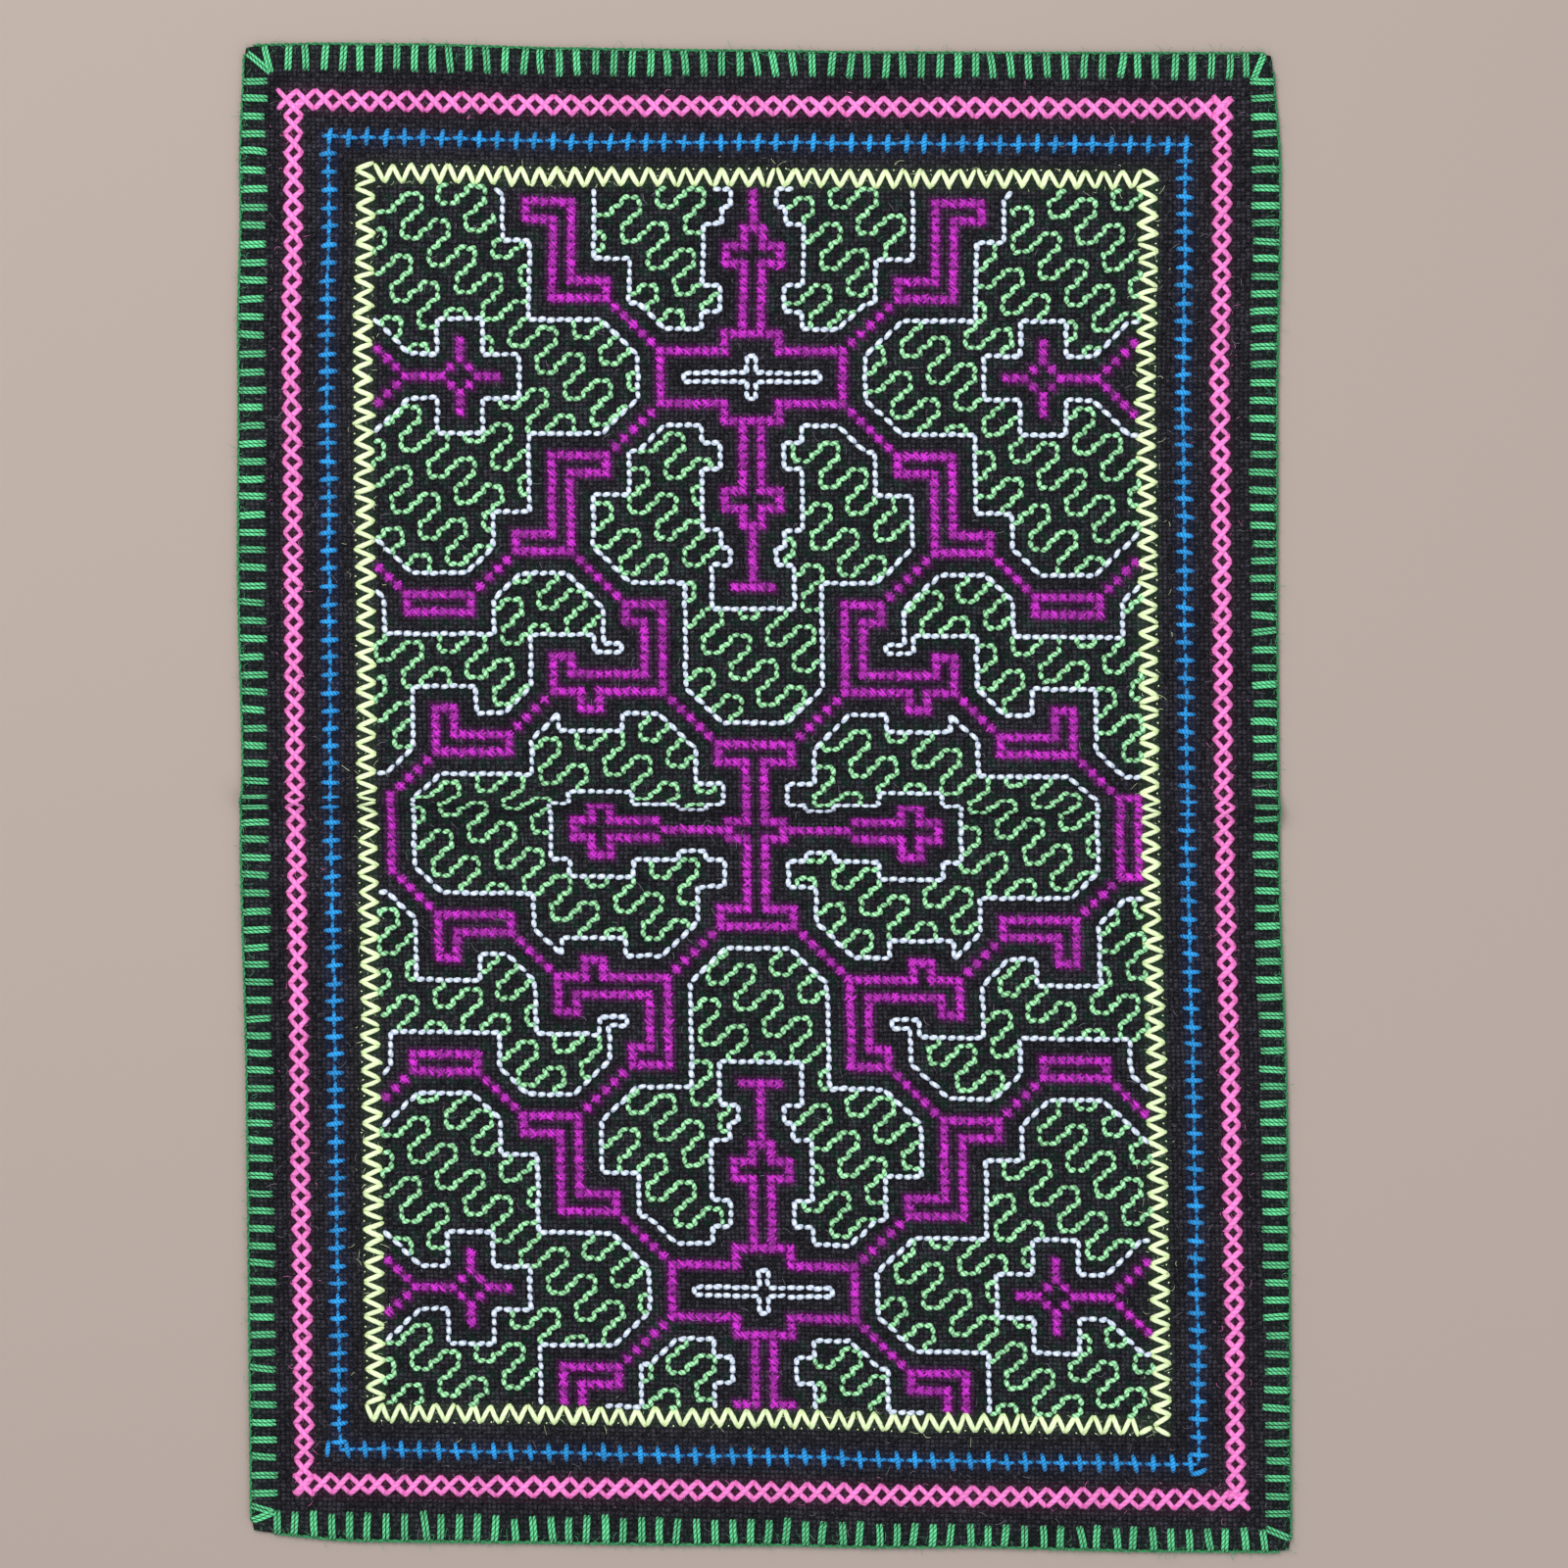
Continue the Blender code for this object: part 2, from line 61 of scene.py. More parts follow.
# How far each side of the rim bows out, in stitches, at shares of the side's length
RIM_BOWS = {
    "left": (
        (0.0, -0.4), (0.08, 0.05), (0.2, 0.05), (0.35, 0.25),
        (0.47, 0.0), (0.54, 0.3), (0.7, 0.0), (1.0, 0.1),
    ),
    "right": ((0.0, -0.45), (0.08, 0.3), (0.2, 0.2), (0.41, -0.05), (0.55, -0.1), (0.75, 0.05), (1.0, -0.1)),
    "top": ((0.0, -0.1), (0.1, 0.25), (0.25, 0.3), (0.5, 0.1), (0.6, 0.0), (1.0, 0.1)),
    "bottom": ((0.0, -0.15), (0.1, 0.55), (0.32, 0.45), (0.55, 0.2), (0.7, -0.1), (0.85, 0.08), (1.0, 0.0)),
}
BOW_REACH = 3.6
BOW_LIMIT = 1.1
CORNER_REACH = 1.8
CORNER_ROUNDING = 0.2

# The crease that stands across the cloth: each row of stitches and its share of the crease's height, the
# height at both ends, and how far its bends are rounded and how closely it is followed, in stitches
FOLD_ROWS = ((46.5, 0.0), (47.5, 0.12), (48.5, 0.5), (49.5, 1.0), (50.5, 0.5), (51.5, 0.12), (52.5, 0.0))
FOLD_HEIGHT_LEFT = 0.0052
FOLD_HEIGHT_RIGHT = 0.00455
FOLD_ROUNDING = 0.12
FOLD_MARGIN = 0.6
FOLD_STEP = 0.15
PANEL_LINE_STEP = 0.25

# The cloth lies a little askew
MIDDLE_ROW = 53.0
SIDE_DRIFT = 0.000036
LEAN_AT_TOP = 0.0020
LEAN_AT_BOTTOM = 0.0094

# How far the yarn's pull and the cloth's lie move places, in stitches, at shares of each side's length
SIDE_PULLS = {
    "left": ((0.0, 0.55), (0.1, 0.45), (0.2, 0.0), (0.45, -0.13), (1.0, -0.10)),
    "right": ((0.0, 0.75), (0.1, 0.55), (0.25, 0.03), (0.55, -0.05), (0.7, 0.33), (0.85, 0.42), (1.0, 0.35)),
}
ROW_PULLS = {
    "top": ((0.0, -0.75), (0.15, -0.5), (0.32, -0.05), (1.0, 0.15)),
    "bottom": ((0.0, -0.62), (0.25, -0.55), (0.5, -0.38), (0.65, -0.12), (1.0, -0.07)),
}
TOP_PULL_ENDS = 0.22
TOP_PULL_FADE = 0.16
BOTTOM_PULL_STARTS = 0.68
BOTTOM_PULL_FADE = 0.27

# The field and the rows of yarn round it, in stitches
FIELD = {"left": -41.5, "right": 42.5, "top": -21.5, "bottom": 119.4}
PINK_ROW = {"left": -50.5, "right": 51.44, "top": -31.0, "bottom": 129.0}
BLUE_ROW = {"left": -46.57, "right": 47.39, "top": -26.85, "bottom": 125.0}
YELLOW_ROW = {"left": -42.6, "right": 43.3, "top": -22.85, "bottom": 120.62}

# Above this row of the field only the stem of the purple lattice runs on, this far to each side
LAST_ROW_AT_TOP = -20.5
STEM_REACH = 1.5

# The top corners of the field have no outline beyond these places, and two squares have no purple cross
BARE_CORNER = (38.0, -17.0)
BARE_SQUARES = {(-41, 48), (-41, 58)}

# The two hooks next to the top border are a stitch narrower: above this row their outer column moves inwards
HOOK_COLUMN = 26
HOOK_ROW = -17.5

# Outlines near the top border stand closer together or wider: above a row, the places between two columns
# move to another column, or by so many stitches towards the middle
DRAWN_IN = (
    {"above": -15.4, "between": (28.4, 28.6), "to": 27.5},
    {"above": -20.4, "between": (28.6, 31.6), "by": 2},
    {"above": -19.4, "between": (13.4, 17.6), "to": 17.5},
)

# How close a place may lie outside the edge of the field and still count as in it
EDGE_SLACK = 0.1

# The stitches along each side of a row: the first place, the last place and how many places there are
PINK_TIPS = {
    "top": (-52.12, 52.51, 53),
    "right": (-32.3, 129.0, 80),
    "bottom": (-51.57, 52.77, 53),
    "left": (-31.05, 130.3, 80),
}
BLUE_CROSSES = {
    "top": (-46.4, 47.45, 47),
    "right": (-27.0, 123.9, 75),
    "bottom": (-45.8, 46.45, 47),
    "left": (-26.95, 124.1, 75),
}
BLUE_TICKS = (((-47.8, 123.9), (-47.9, 126.1)), ((48.3, 125.5), (46.4, 126.2)))
YELLOW_TIPS = {
    "top": (-41.5, 42.55, 43),
    "right": (-22.75, 119.55, 71),
    "bottom": (-42.95, 40.95, 43),
    "left": (-23.1, 119.8, 71),
}
YELLOW_TURN = (42.5, 120.8)
YELLOW_TAIL = (44.4, 121.75)
EDGE_SPOKES = {
    "top": (-51.0, 54.1, 54),
    "right": (-34.1, 130.5, 82),
    "bottom": (-53.5, 54.2, 55),
    "left": (-33.0, 130.1, 81),
}

# Spokes at the corners: the corner, then where each starts and ends, counted inwards from it
CORNER_SPOKES = (
    ("left", "top", (0.3, 0.8), (3.3, 3.2)),
    ("left", "top", (2.5, 0.0), (3.35, 3.2)),
    ("right", "top", (1.0, 0.0), (2.5, 2.9)),
    ("right", "bottom", (0.0, 1.5), (2.8, 2.7)),
    ("left", "bottom", (0.0, 3.2), (2.4, 2.5)),
    ("left", "bottom", (0.0, 1.4), (2.4, 2.5)),
)

# Where the edge cord starts and ends along each side of the rim
CORD_ENDS = {
    "top": (-55.2, 56.6),
    "right": (-35.2, 133.4),
    "bottom": (-53.8, 56.2),
    "left": (-36.2, 133.5),
}

# Which way is outwards from each side of a row
OUTWARDS = {"top": (0, -1), "right": (1, 0), "bottom": (0, 1), "left": (-1, 0)}

# The counted pattern repeats at these rows, right way up and turned over
REPEAT_ROW = 106
TURNS = tuple(
    (side, start, way)
    for side in (1, -1)
    for start, way in ((0, 1), (0, -1), (REPEAT_ROW, -1), (REPEAT_ROW, 1))
)

# Purple cross stitches, one to each counted square of these lines, for a quarter of the pattern
PURPLE_CHART = {
    "box": ((10, 0), (10, 3), (3, 3), (3, 5), (0, 5)),
    "neck": ((1, 5), (1, 13), (3, 13), (3, 15), (1, 15), (1, 17), (0, 17)),
    "stem": ((0, 17), (0, 24), (2, 24)),
    "step from box": ((10, 3), (16, 9)),
    "long band": ((16, 9), (22, 9), (22, 18), (26, 18), (26, 20), (20, 20), (20, 11), (16, 11), (16, 9)),
    "step to hook": ((20, 20), (14, 26)),
    "hook": ((14, 26), (14, 28), (12, 28), (12, 34), (20, 34), (20, 32), (22, 32), (22, 36), (19, 36)),
    "hook tongue": ((19, 36), (19, 38), (17, 38), (17, 36), (10, 36), (10, 26), (14, 26)),
    "step to bar": ((10, 36), (4, 42)),
    "bar": ((0, 42), (4, 42), (4, 44), (1, 44), (1, 52), (3, 52), (3, 53)),
    "arm": ((3, 53), (10, 53), (11, 52), (16, 52), (16, 50), (18, 50), (18, 52), (20, 52), (20, 53)),
    "step to tablet": ((26, 20), (31, 25)),
    "tablet": ((31, 25), (38, 25), (38, 27), (31, 27), (31, 25)),
    "tablet branch": ((38, 25), (42, 21)),
    "step to foot": ((22, 36), (27, 41)),
    "foot": ((27, 41), (33, 41), (33, 38), (35, 38), (35, 43), (27, 43), (27, 41)),
    "step to post": ((35, 43), (40, 48)),
    "post": ((40, 53), (40, 48), (42, 48), (42, 53)),
}
CROSS_CHART = {
    "inner arm": ((28, 0), (30, 0), (31, 1), (32, 2)),
    "upright": ((32, 2), (32, 4)),
    "outer arm": ((32, 2), (33, 1), (34, 0), (38, 0)),
    "branch": ((38, 0), (42, 4)),
}

# Pale outlines in backstitch between counted squares, for a quarter; whole numbers lie on a mirror line
OUTLINE_CHART = {
    "long cross": ((7.5, 0), (7.5, 0.5), (0.5, 0.5), (0.5, 2.5), (0, 2.5)),
    "middle shape": (
        (0, 26.5), (4.5, 26.5), (4.5, 21.5), (2.5, 21.5), (2.5, 19.5), (3.5, 19.5), (3.5, 17.5), (5.5, 17.5),
        (5.5, 10.5), (3.5, 10.5), (3.5, 7.5), (5.5, 7.5), (5.5, 5.5), (9.5, 5.5), (12.5, 8.5), (13.5, 8.5),
        (13.5, 13.5), (17.5, 13.5), (17.5, 19.5), (13.5, 23.5), (7.5, 23.5), (7.5, 35.5), (3.5, 39.5),
        (0, 39.5),
    ),
    "side shape": (
        (12.5, 0), (12.5, 2.5), (16.5, 6.5), (24.5, 6.5), (24.5, 15.5), (28.5, 15.5), (28.5, 19.5),
        (31.5, 22.5), (37.5, 22.5), (42.5, 17.5),
    ),
    "side opening": (
        (25.5, 0), (25.5, 2.5), (29.5, 2.5), (29.5, 6.5), (34.5, 6.5), (34.5, 2.5), (37.5, 2.5), (41.5, 6.5),
        (42.5, 6.5),
    ),
    "border shape": (
        (42.5, 23.5), (40.5, 25.5), (40.5, 29.5), (28.5, 29.5), (28.5, 25.5), (25.5, 22.5), (20.5, 22.5),
        (16.5, 26.5), (16.5, 30.5), (14.5, 30.5), (14.5, 31.5), (17.5, 31.5), (17.5, 29.5), (24.5, 29.5),
        (24.5, 35.5), (27.5, 38.5), (30.5, 38.5), (30.5, 35.5), (37.5, 35.5), (37.5, 42.5), (40.5, 45.5),
        (42.5, 45.5),
    ),
    "arm shape": (
        (22.5, 53), (22.5, 49.5), (20.5, 49.5), (20.5, 47.5), (13.5, 47.5), (13.5, 49.5), (8.5, 49.5),
        (8.5, 50.5), (5.5, 50.5), (5.5, 49.5), (3.5, 49.5), (3.5, 46.5), (6.5, 46.5), (6.5, 42.5),
        (10.5, 38.5), (14.5, 38.5), (14.5, 40.5), (21.5, 40.5), (21.5, 38.5), (24.5, 41.5), (24.5, 45.5),
        (34.5, 45.5), (37.5, 48.5), (37.5, 53),
    ),
}

# Shapes are closed beyond the field, and just past a mirror line that runs through them
OUTSIDE = 60
PAST_MIRROR_LINE = 0.25

# The winding green filling: one repeat of its path in single stitches, and the shapes that it fills
FILL_PATH = (
    (1, 0), (1, 0), (0, 1), (0, 1), (-1, 0), (0, 1), (-1, 0), (0, 1), (0, 1),
    (1, 0), (1, 0), (0, -1), (1, 0), (0, -1),
)
FILL_ALONG = (3, 3)
FILL_BESIDE = (-4, 4)
FILL_REPEATS = 40
FILL_LIMITS = {"side": 50, "top": -30, "bottom": 130}
SHORTEST_RUN = 3
FILL_STARTS = {
    ("middle shape", 1, 0, 1): (7.5, 7.5),
    ("middle shape", -1, 0, 1): (7.5, 7.5),
    ("middle shape", 1, 0, -1): (7.5, -17.5),
    ("middle shape", -1, 0, -1): (-8.5, -14.5),
    ("middle shape", 1, REPEAT_ROW, -1): (-11.5, 83.5),
    ("middle shape", -1, REPEAT_ROW, -1): (-11.5, 83.5),
    ("middle shape", 1, REPEAT_ROW, 1): (8.5, 112.5),
    ("middle shape", -1, REPEAT_ROW, 1): (-7.5, 113.5),
    ("side shape", 1, 0, 1): (31.5, 7.5),
    ("side shape", -1, 0, 1): (-38.5, -20.5),
    ("side shape", 1, REPEAT_ROW, 1): (33.5, 86.5),
    ("side shape", -1, REPEAT_ROW, 1): (-38.5, 86.5),
    ("border shape", 1, 0, 1): (34.5, 32.5),
    ("border shape", -1, 0, 1): (-27.5, 25.5),
    ("border shape", 1, REPEAT_ROW, -1): (21.5, 77.5),
    ("border shape", -1, REPEAT_ROW, -1): (-26.5, 77.5),
    ("arm shape", 1, 0, 1): (10.5, 40.5),
    ("arm shape", -1, 0, 1): (-35.5, 53.5),
}

# Each yarn: half width and half height of a strand, how far its ends dive into the cloth, and its twist
YARNS = {
    "edge": {"half_width": 0.00056, "half_height": 0.00048, "dive": 0.0007, "pinch": 0.75, "lay": 0.0032},
    "pink": {"half_width": 0.00092, "half_height": 0.00056, "dive": 0.0006, "pinch": 0.80, "lay": 0.0042},
    "blue": {"half_width": 0.00088, "half_height": 0.00060, "dive": 0.0008, "pinch": 0.50, "lay": 0.0024},
    "yellow": {"half_width": 0.00088, "half_height": 0.00058, "dive": 0.0008, "pinch": 0.55, "lay": 0.0046},
    "purple": {"half_width": 0.00046, "half_height": 0.00032, "dive": 0.0006, "pinch": 0.50, "lay": 0.0011},
    "outline": {"half_width": 0.00098, "half_height": 0.00072, "dive": 0.0009, "pinch": 0.22, "lay": 0.0044},
    "fill": {"half_width": 0.00099, "half_height": 0.00066, "dive": 0.0008, "pinch": 0.20, "lay": 0.0030},
    "fleck": {"half_width": 0.00026, "half_height": 0.00022, "dive": 0.0, "pinch": 0.5, "lay": 0.0010},
    "cord": {"half_width": 0.00030, "half_height": 0.00030, "dive": 0.0, "pinch": 0.8, "lay": 0.0024},
    "lint": {"half_width": 0.00007, "half_height": 0.00005, "dive": 0.0, "pinch": 0.6, "lay": 0.0010},
}

# How far stitches reach to both sides of a row's middle line, and past the holes that they share
PINK_REACH = {"top": 1.12, "right": 0.96, "bottom": 1.12, "left": 0.96}
PINK_PAST = 0.06
BLUE_REACH = {"top": 1.15, "right": 1.05, "bottom": 1.15, "left": 1.05}
BLUE_LEAN = {"top": 0.10, "right": 0.06, "bottom": 0.10, "left": 0.06}
BLUE_ALONG_HALF_WIDTH = 0.00070
YELLOW_REACH = 1.15
PURPLE_REACH = 0.46

# How far each of two threads side by side lies from their middle
PURPLE_TWIN = 0.00037
EDGE_TWIN = 0.00063

# The blanket stitches of each side: their lengths in stitches, how much they slant and differ, and how much
# shorter they get towards the bottom's right end
SPOKE_LENGTH = {"top": 2.85, "right": 2.80, "bottom": 2.85, "left": 2.80}
SPOKE_SLANT = {"top": 0.22, "right": 0.12, "bottom": 0.22, "left": 0.12}
SPOKE_SPREAD = 0.10
BOTTOM_SHORTENING = 0.3

# The edge cord's strands: rings along a side, their distance from its middle, how far out it lies in
# stitches, the length of a turn and its height over the floor
CORD = {"rings": 440, "radius": 0.00029, "out": 0.08, "turn": 0.0050, "ground": 0.00115}

# How stitches lie: the share of its half height that a strand is lifted by, how much strands differ in
# size, the share of a stitch that rises over another, and the lowest that yarn lies over the floor
YARN_SEAT = 0.8
SIZE_SPREAD = 0.06
CROSSING_WIDTH = 0.2
LOWEST_YARN = 0.0001

# Twist is counted in millimetres along a strand, and starts at another place on each
MILLIMETRES = 1000
TWIST_SHIFT = 50

# Loose fibres: how much they bend, in radians, and their least length as a share of their reach
FIBRE_BEND = 1.3
FIBRE_LEAST = 0.35

# Flecks show this far out from the middle of a row, scattered, in stitches
MARK_REACH = 0.95
MARK_SCATTER = 0.08
MARK_HALF_LENGTH = 0.10

# Colours as linear red, green and blue: the yarn, and the painted shade between its plies, at the foot of a
# strand and at its ends where it dives into the cloth
COLOURS = {
    "cloth thread": (0.039, 0.036, 0.047),
    # Painted shade in the gaps of the weave
    "painted gap shade": (0.0014, 0.0015, 0.0021),
    "cloth haze": (0.110, 0.102, 0.128),
    "edge": ((0.135, 0.70, 0.31), (0.002, 0.045, 0.012)),
    "cord": ((0.045, 0.33, 0.12), (0.002, 0.050, 0.012)),
    "pink": ((0.93, 0.237, 0.635), (0.40, 0.012, 0.17)),
    "blue": ((0.024, 0.37, 0.87), (0.0, 0.030, 0.12)),
    "yellow": ((0.85, 1.00, 0.61), (0.30, 0.42, 0.09)),
    "purple": ((0.65, 0.021, 0.63), (0.10, 0.001, 0.10)),
    "outline": ((0.78, 0.86, 0.98), (0.10, 0.16, 0.29)),
    "fill": ((0.44, 0.92, 0.50), (0.015, 0.12, 0.02)),
    "lint": ((0.30, 0.28, 0.33), (0.20, 0.19, 0.23)),
}

# Colour that loose fibres add to the cloth: near a row of yarn, by its reach in stitches, and at stitches
ROW_HAZE = (
    (PINK_ROW, 1.5, (0.052, 0.003, 0.026)),
    (BLUE_ROW, 1.2, (0.0, 0.008, 0.034)),
    (YELLOW_ROW, 1.5, (0.012, 0.026, 0.008)),
    (RIM, 3.4, (-0.001, 0.005, 0.0005)),
)
HAZE_STRENGTH = 1.3
PURPLE_HAZE = (0.108, -0.006, 0.102)
FILLING_HAZE = (-0.004, 0.013, 0.002)

# The floor, the lights, the pale surround and the camera's lens
FLOOR = {"half": 4.0, "level": -0.0002, "colour": (0.365, 0.30, 0.265, 1.0)}
LIGHTS = {
    "softbox": {"place": (-0.55, 0.75, 1.5), "size": 1.1, "power": 26.0, "colour": (1.0, 0.985, 0.96)},
    "fill": {"place": (0.9, -0.7, 1.3), "size": 1.4, "power": 10.0, "colour": (0.94, 0.97, 1.0)},
}
SURROUND = {"colour": (0.93, 0.96, 1.0, 1.0), "strength": 0.55}
LENS = 90.0
SENSOR_WIDTH = 36.0

# The photo's frame is 1600 pixels wide; the cloth's middle shows at this pixel of it
FRAME_PIXELS = 1600
PIXEL_SIZE = 0.0003306
MIDDLE_PIXEL = (771.3, 847.0)


def eased(table, share):
    """Values of a short table of (share, value) rows, eased from row to row."""
    share = np.clip(share, table[0][0], table[-1][0])
    value = np.full_like(share, table[0][1])
    for (start, low), (end, high) in zip(table, table[1:]):
        turn = np.clip((share - start) / (end - start), 0, 1) * math.pi
        value = value + (high - low) * (1 - np.cos(turn)) / 2
    return value


def bowed(across, down):
    """Places near the rim, moved out by the bow of its sides."""
    share_across = (across - RIM["left"]) / (RIM["right"] - RIM["left"])
    share_down = (down - RIM["top"]) / (RIM["bottom"] - RIM["top"])
    left = np.clip((RIM["left"] + BOW_REACH - across) / BOW_REACH, 0, BOW_LIMIT)
    right = np.clip((across - RIM["right"] + BOW_REACH) / BOW_REACH, 0, BOW_LIMIT)
    top = np.clip((RIM["top"] + BOW_REACH - down) / BOW_REACH, 0, BOW_LIMIT)
    bottom = np.clip((down - RIM["bottom"] + BOW_REACH) / BOW_REACH, 0, BOW_LIMIT)
    moved_across = across + right * eased(RIM_BOWS["right"], share_down)
    moved_across = moved_across - left * eased(RIM_BOWS["left"], share_down)
    moved_down = down + bottom * eased(RIM_BOWS["bottom"], share_across)
    moved_down = moved_down - top * eased(RIM_BOWS["top"], share_across)
    corner = rounding(left, right, top, bottom)
    moved_across = moved_across + corner * (np.sign(left) - np.sign(right))
    moved_down = moved_down + corner * (np.sign(top) - np.sign(bottom))
    return moved_across, moved_down


def rounding(left, right, top, bottom):
    """How far the cloth's corners are drawn in, from the nearness of a place to each side of the rim."""
    across, down = np.maximum(left, right), np.maximum(top, bottom)
    near_side = np.clip(1 - (1 - across) * BOW_REACH / CORNER_REACH, 0, 1)
    near_end = np.clip(1 - (1 - down) * BOW_REACH / CORNER_REACH, 0, 1)
    return CORNER_ROUNDING * (near_side * near_end) ** 1.5


def pulled(across, down):
    """Places moved by the uneven pull of the cloth as it lies."""
    share_across = (across - RIM["left"]) / (RIM["right"] - RIM["left"])
    share_down = (down - RIM["top"]) / (RIM["bottom"] - RIM["top"])
    left, right = (eased(SIDE_PULLS[side], share_down) for side in ("left", "right"))
    near_top = np.clip((TOP_PULL_ENDS - share_down) / TOP_PULL_FADE, 0, 1)
    near_bottom = np.clip((share_down - BOTTOM_PULL_STARTS) / BOTTOM_PULL_FADE, 0, 1)
    drawn_up = near_top * eased(ROW_PULLS["top"], share_across)
    drawn_up = drawn_up + near_bottom * eased(ROW_PULLS["bottom"], share_across)
    return across + left + (right - left) * share_across, down + drawn_up


def rounded_fold():
    """Rows of the crease close together, each with its share of the height, the bends rounded off."""
    first, last = FOLD_ROWS[0][0] - FOLD_MARGIN, FOLD_ROWS[-1][0] + FOLD_MARGIN
    rows = np.arange(first, last + FOLD_STEP / 2, FOLD_STEP)
    table_rows, table_parts = zip(*FOLD_ROWS)
    spread = np.linspace(-FOLD_ROUNDING, FOLD_ROUNDING, 9)
    parts = np.mean([np.interp(rows + shift, table_rows, table_parts) for shift in spread], axis=0)
    return rows, parts


def lie(across, down, lift):
    """Where counted places lie, raised from the underside of the cloth by the lift: an array of points."""
    across, down = pulled(*bowed(across, down))
    share_across = (across - RIM["left"]) / (RIM["right"] - RIM["left"])
    full_height = FOLD_HEIGHT_LEFT + share_across * (FOLD_HEIGHT_RIGHT - FOLD_HEIGHT_LEFT)
    rows, parts = rounded_fold()
    rises = np.diff(parts)[:, None] * full_height[None, :]
    runs = np.sqrt((np.diff(rows)[:, None] * STITCH_DOWN) ** 2 - rises ** 2)
    run_total = np.concatenate([np.zeros((1, len(across))), np.cumsum(runs, axis=0)])
    spot = np.clip(np.searchsorted(rows, down) - 1, 0, len(rises) - 1)
    share = np.clip((down - rows[spot]) / (rows[1] - rows[0]), 0, 1)
    everyone = np.arange(len(across))
    back = run_total[spot, everyone] * (1 - share) + run_total[spot + 1, everyone] * share
    back = np.where(down <= rows[0], (down - rows[0]) * STITCH_DOWN, back)
    back = np.where(down >= rows[-1], run_total[-1] + (down - rows[-1]) * STITCH_DOWN, back)
    back = back + (rows[0] - FOLD_ROWS[0][0]) * STITCH_DOWN
    height = (parts[spot] * (1 - share) + parts[spot + 1] * share) * full_height + lift
    share_down = (down - RIM["top"]) / (RIM["bottom"] - RIM["top"])
    lean = LEAN_AT_TOP + share_down * (LEAN_AT_BOTTOM - LEAN_AT_TOP)
    x = across * STITCH_ACROSS + (down - MIDDLE_ROW) * SIDE_DRIFT
    return np.stack([x + CENTRE_SHIFT[0], -back - lean * x + CENTRE_SHIFT[1], height], axis=-1)


def cloth_top(across, down):
    """Thickness of the cloth at counted places: more at the hem."""
    inwards = np.minimum.reduce([
        across - RIM["left"], RIM["right"] - across, down - RIM["top"], RIM["bottom"] - down
    ])
    share = np.clip((inwards - HEM_WIDTH) / HEM_STEP, 0, 1)
    return HEM_THICKNESS + share * (CLOTH_THICKNESS - HEM_THICKNESS)


def make_piece(name, points, quads, material, attributes):
    """A mesh object from arrays of points and four-sided faces, with attributes on its points."""
    mesh = bpy.data.meshes.new(name)
    mesh.vertices.add(len(points))
    mesh.vertices.foreach_set("co", np.asarray(points, np.float32).ravel())
    mesh.loops.add(4 * len(quads))
    mesh.loops.foreach_set("vertex_index", np.asarray(quads, np.int32).ravel())
    mesh.polygons.add(len(quads))
    mesh.polygons.foreach_set("loop_start", np.arange(0, 4 * len(quads), 4, dtype=np.int32))
    mesh.polygons.foreach_set("use_smooth", np.full(len(quads), True))
    mesh.update(calc_edges=True)
    mesh.validate()
    for label, values in attributes.items():
        kind, field = ("FLOAT", "value") if values.ndim == 1 else ("FLOAT_VECTOR", "vector")
        layer = mesh.attributes.new(label, kind, "POINT")
        layer.data.foreach_set(field, np.asarray(values, np.float32).ravel())
    mesh.materials.append(material)
    piece = bpy.data.objects.new(name, mesh)
    bpy.context.scene.collection.objects.link(piece)
    return piece


def strands(starts, ends, yarn, seed, rings=6, waver=0.05, bow=0.05, over=0.0, plump=0.55):
    """Single stitches between counted places, each an array row of centres, half widths, heights and shares.

    over is how far the middle of the stitch is lifted by a stitch that it crosses.
    """
    chance = np.random.default_rng(seed)
    starts, ends = np.asarray(starts, float), np.asarray(ends, float)
    count = len(starts)
    scale = np.array([STITCH_ACROSS, -STITCH_DOWN])
    starts = (starts + chance.normal(0, waver, starts.shape)) * scale
    ends = (ends + chance.normal(0, waver, ends.shape)) * scale
    share = (1 - np.cos(math.pi * np.linspace(0, 1, rings))) / 2
    round_off = np.sin(math.pi * share) ** plump
    way = ends - starts
    length = np.linalg.norm(way, axis=1, keepdims=True)
    sideways = np.stack([-way[:, 1], way[:, 0]], axis=1) / length
    sway = chance.normal(0, bow, count)[:, None] * STITCH_DOWN * np.sin(math.pi * share)[None, :]
    size = 1 + chance.normal(0, SIZE_SPREAD, count)[:, None]
    centres = np.zeros((count, rings, 3))
    centres[:, :, :2] = starts[:, None, :] + way[:, None, :] * share[None, :, None]
    centres[:, :, :2] += sideways[:, None, :] * sway[:, :, None]
    bump = np.exp(-(((share - 0.5) / CROSSING_WIDTH) ** 2)) * over
    rise = yarn["half_height"] * YARN_SEAT * round_off - yarn["dive"] * (1 - round_off) + bump
    centres[:, :, 2] = rise[None, :] * size
    widths = yarn["half_width"] * (yarn["pinch"] + (1 - yarn["pinch"]) * round_off)[None, :] * size
    heights = yarn["half_height"] * (yarn["pinch"] + (1 - yarn["pinch"]) * round_off)[None, :] * size
    luck = chance.random(count)
    return {
        "centres": centres,
        "widths": widths,
        "heights": heights,
        "middle": np.broadcast_to(round_off[None, :], widths.shape),
        "luck": np.broadcast_to(luck[:, None], widths.shape),
    }


def gathered(parts):
    """Several sets of stitches of the same yarn and number of rings as one."""
    return {key: np.concatenate([part[key] for part in parts]) for key in parts[0]}


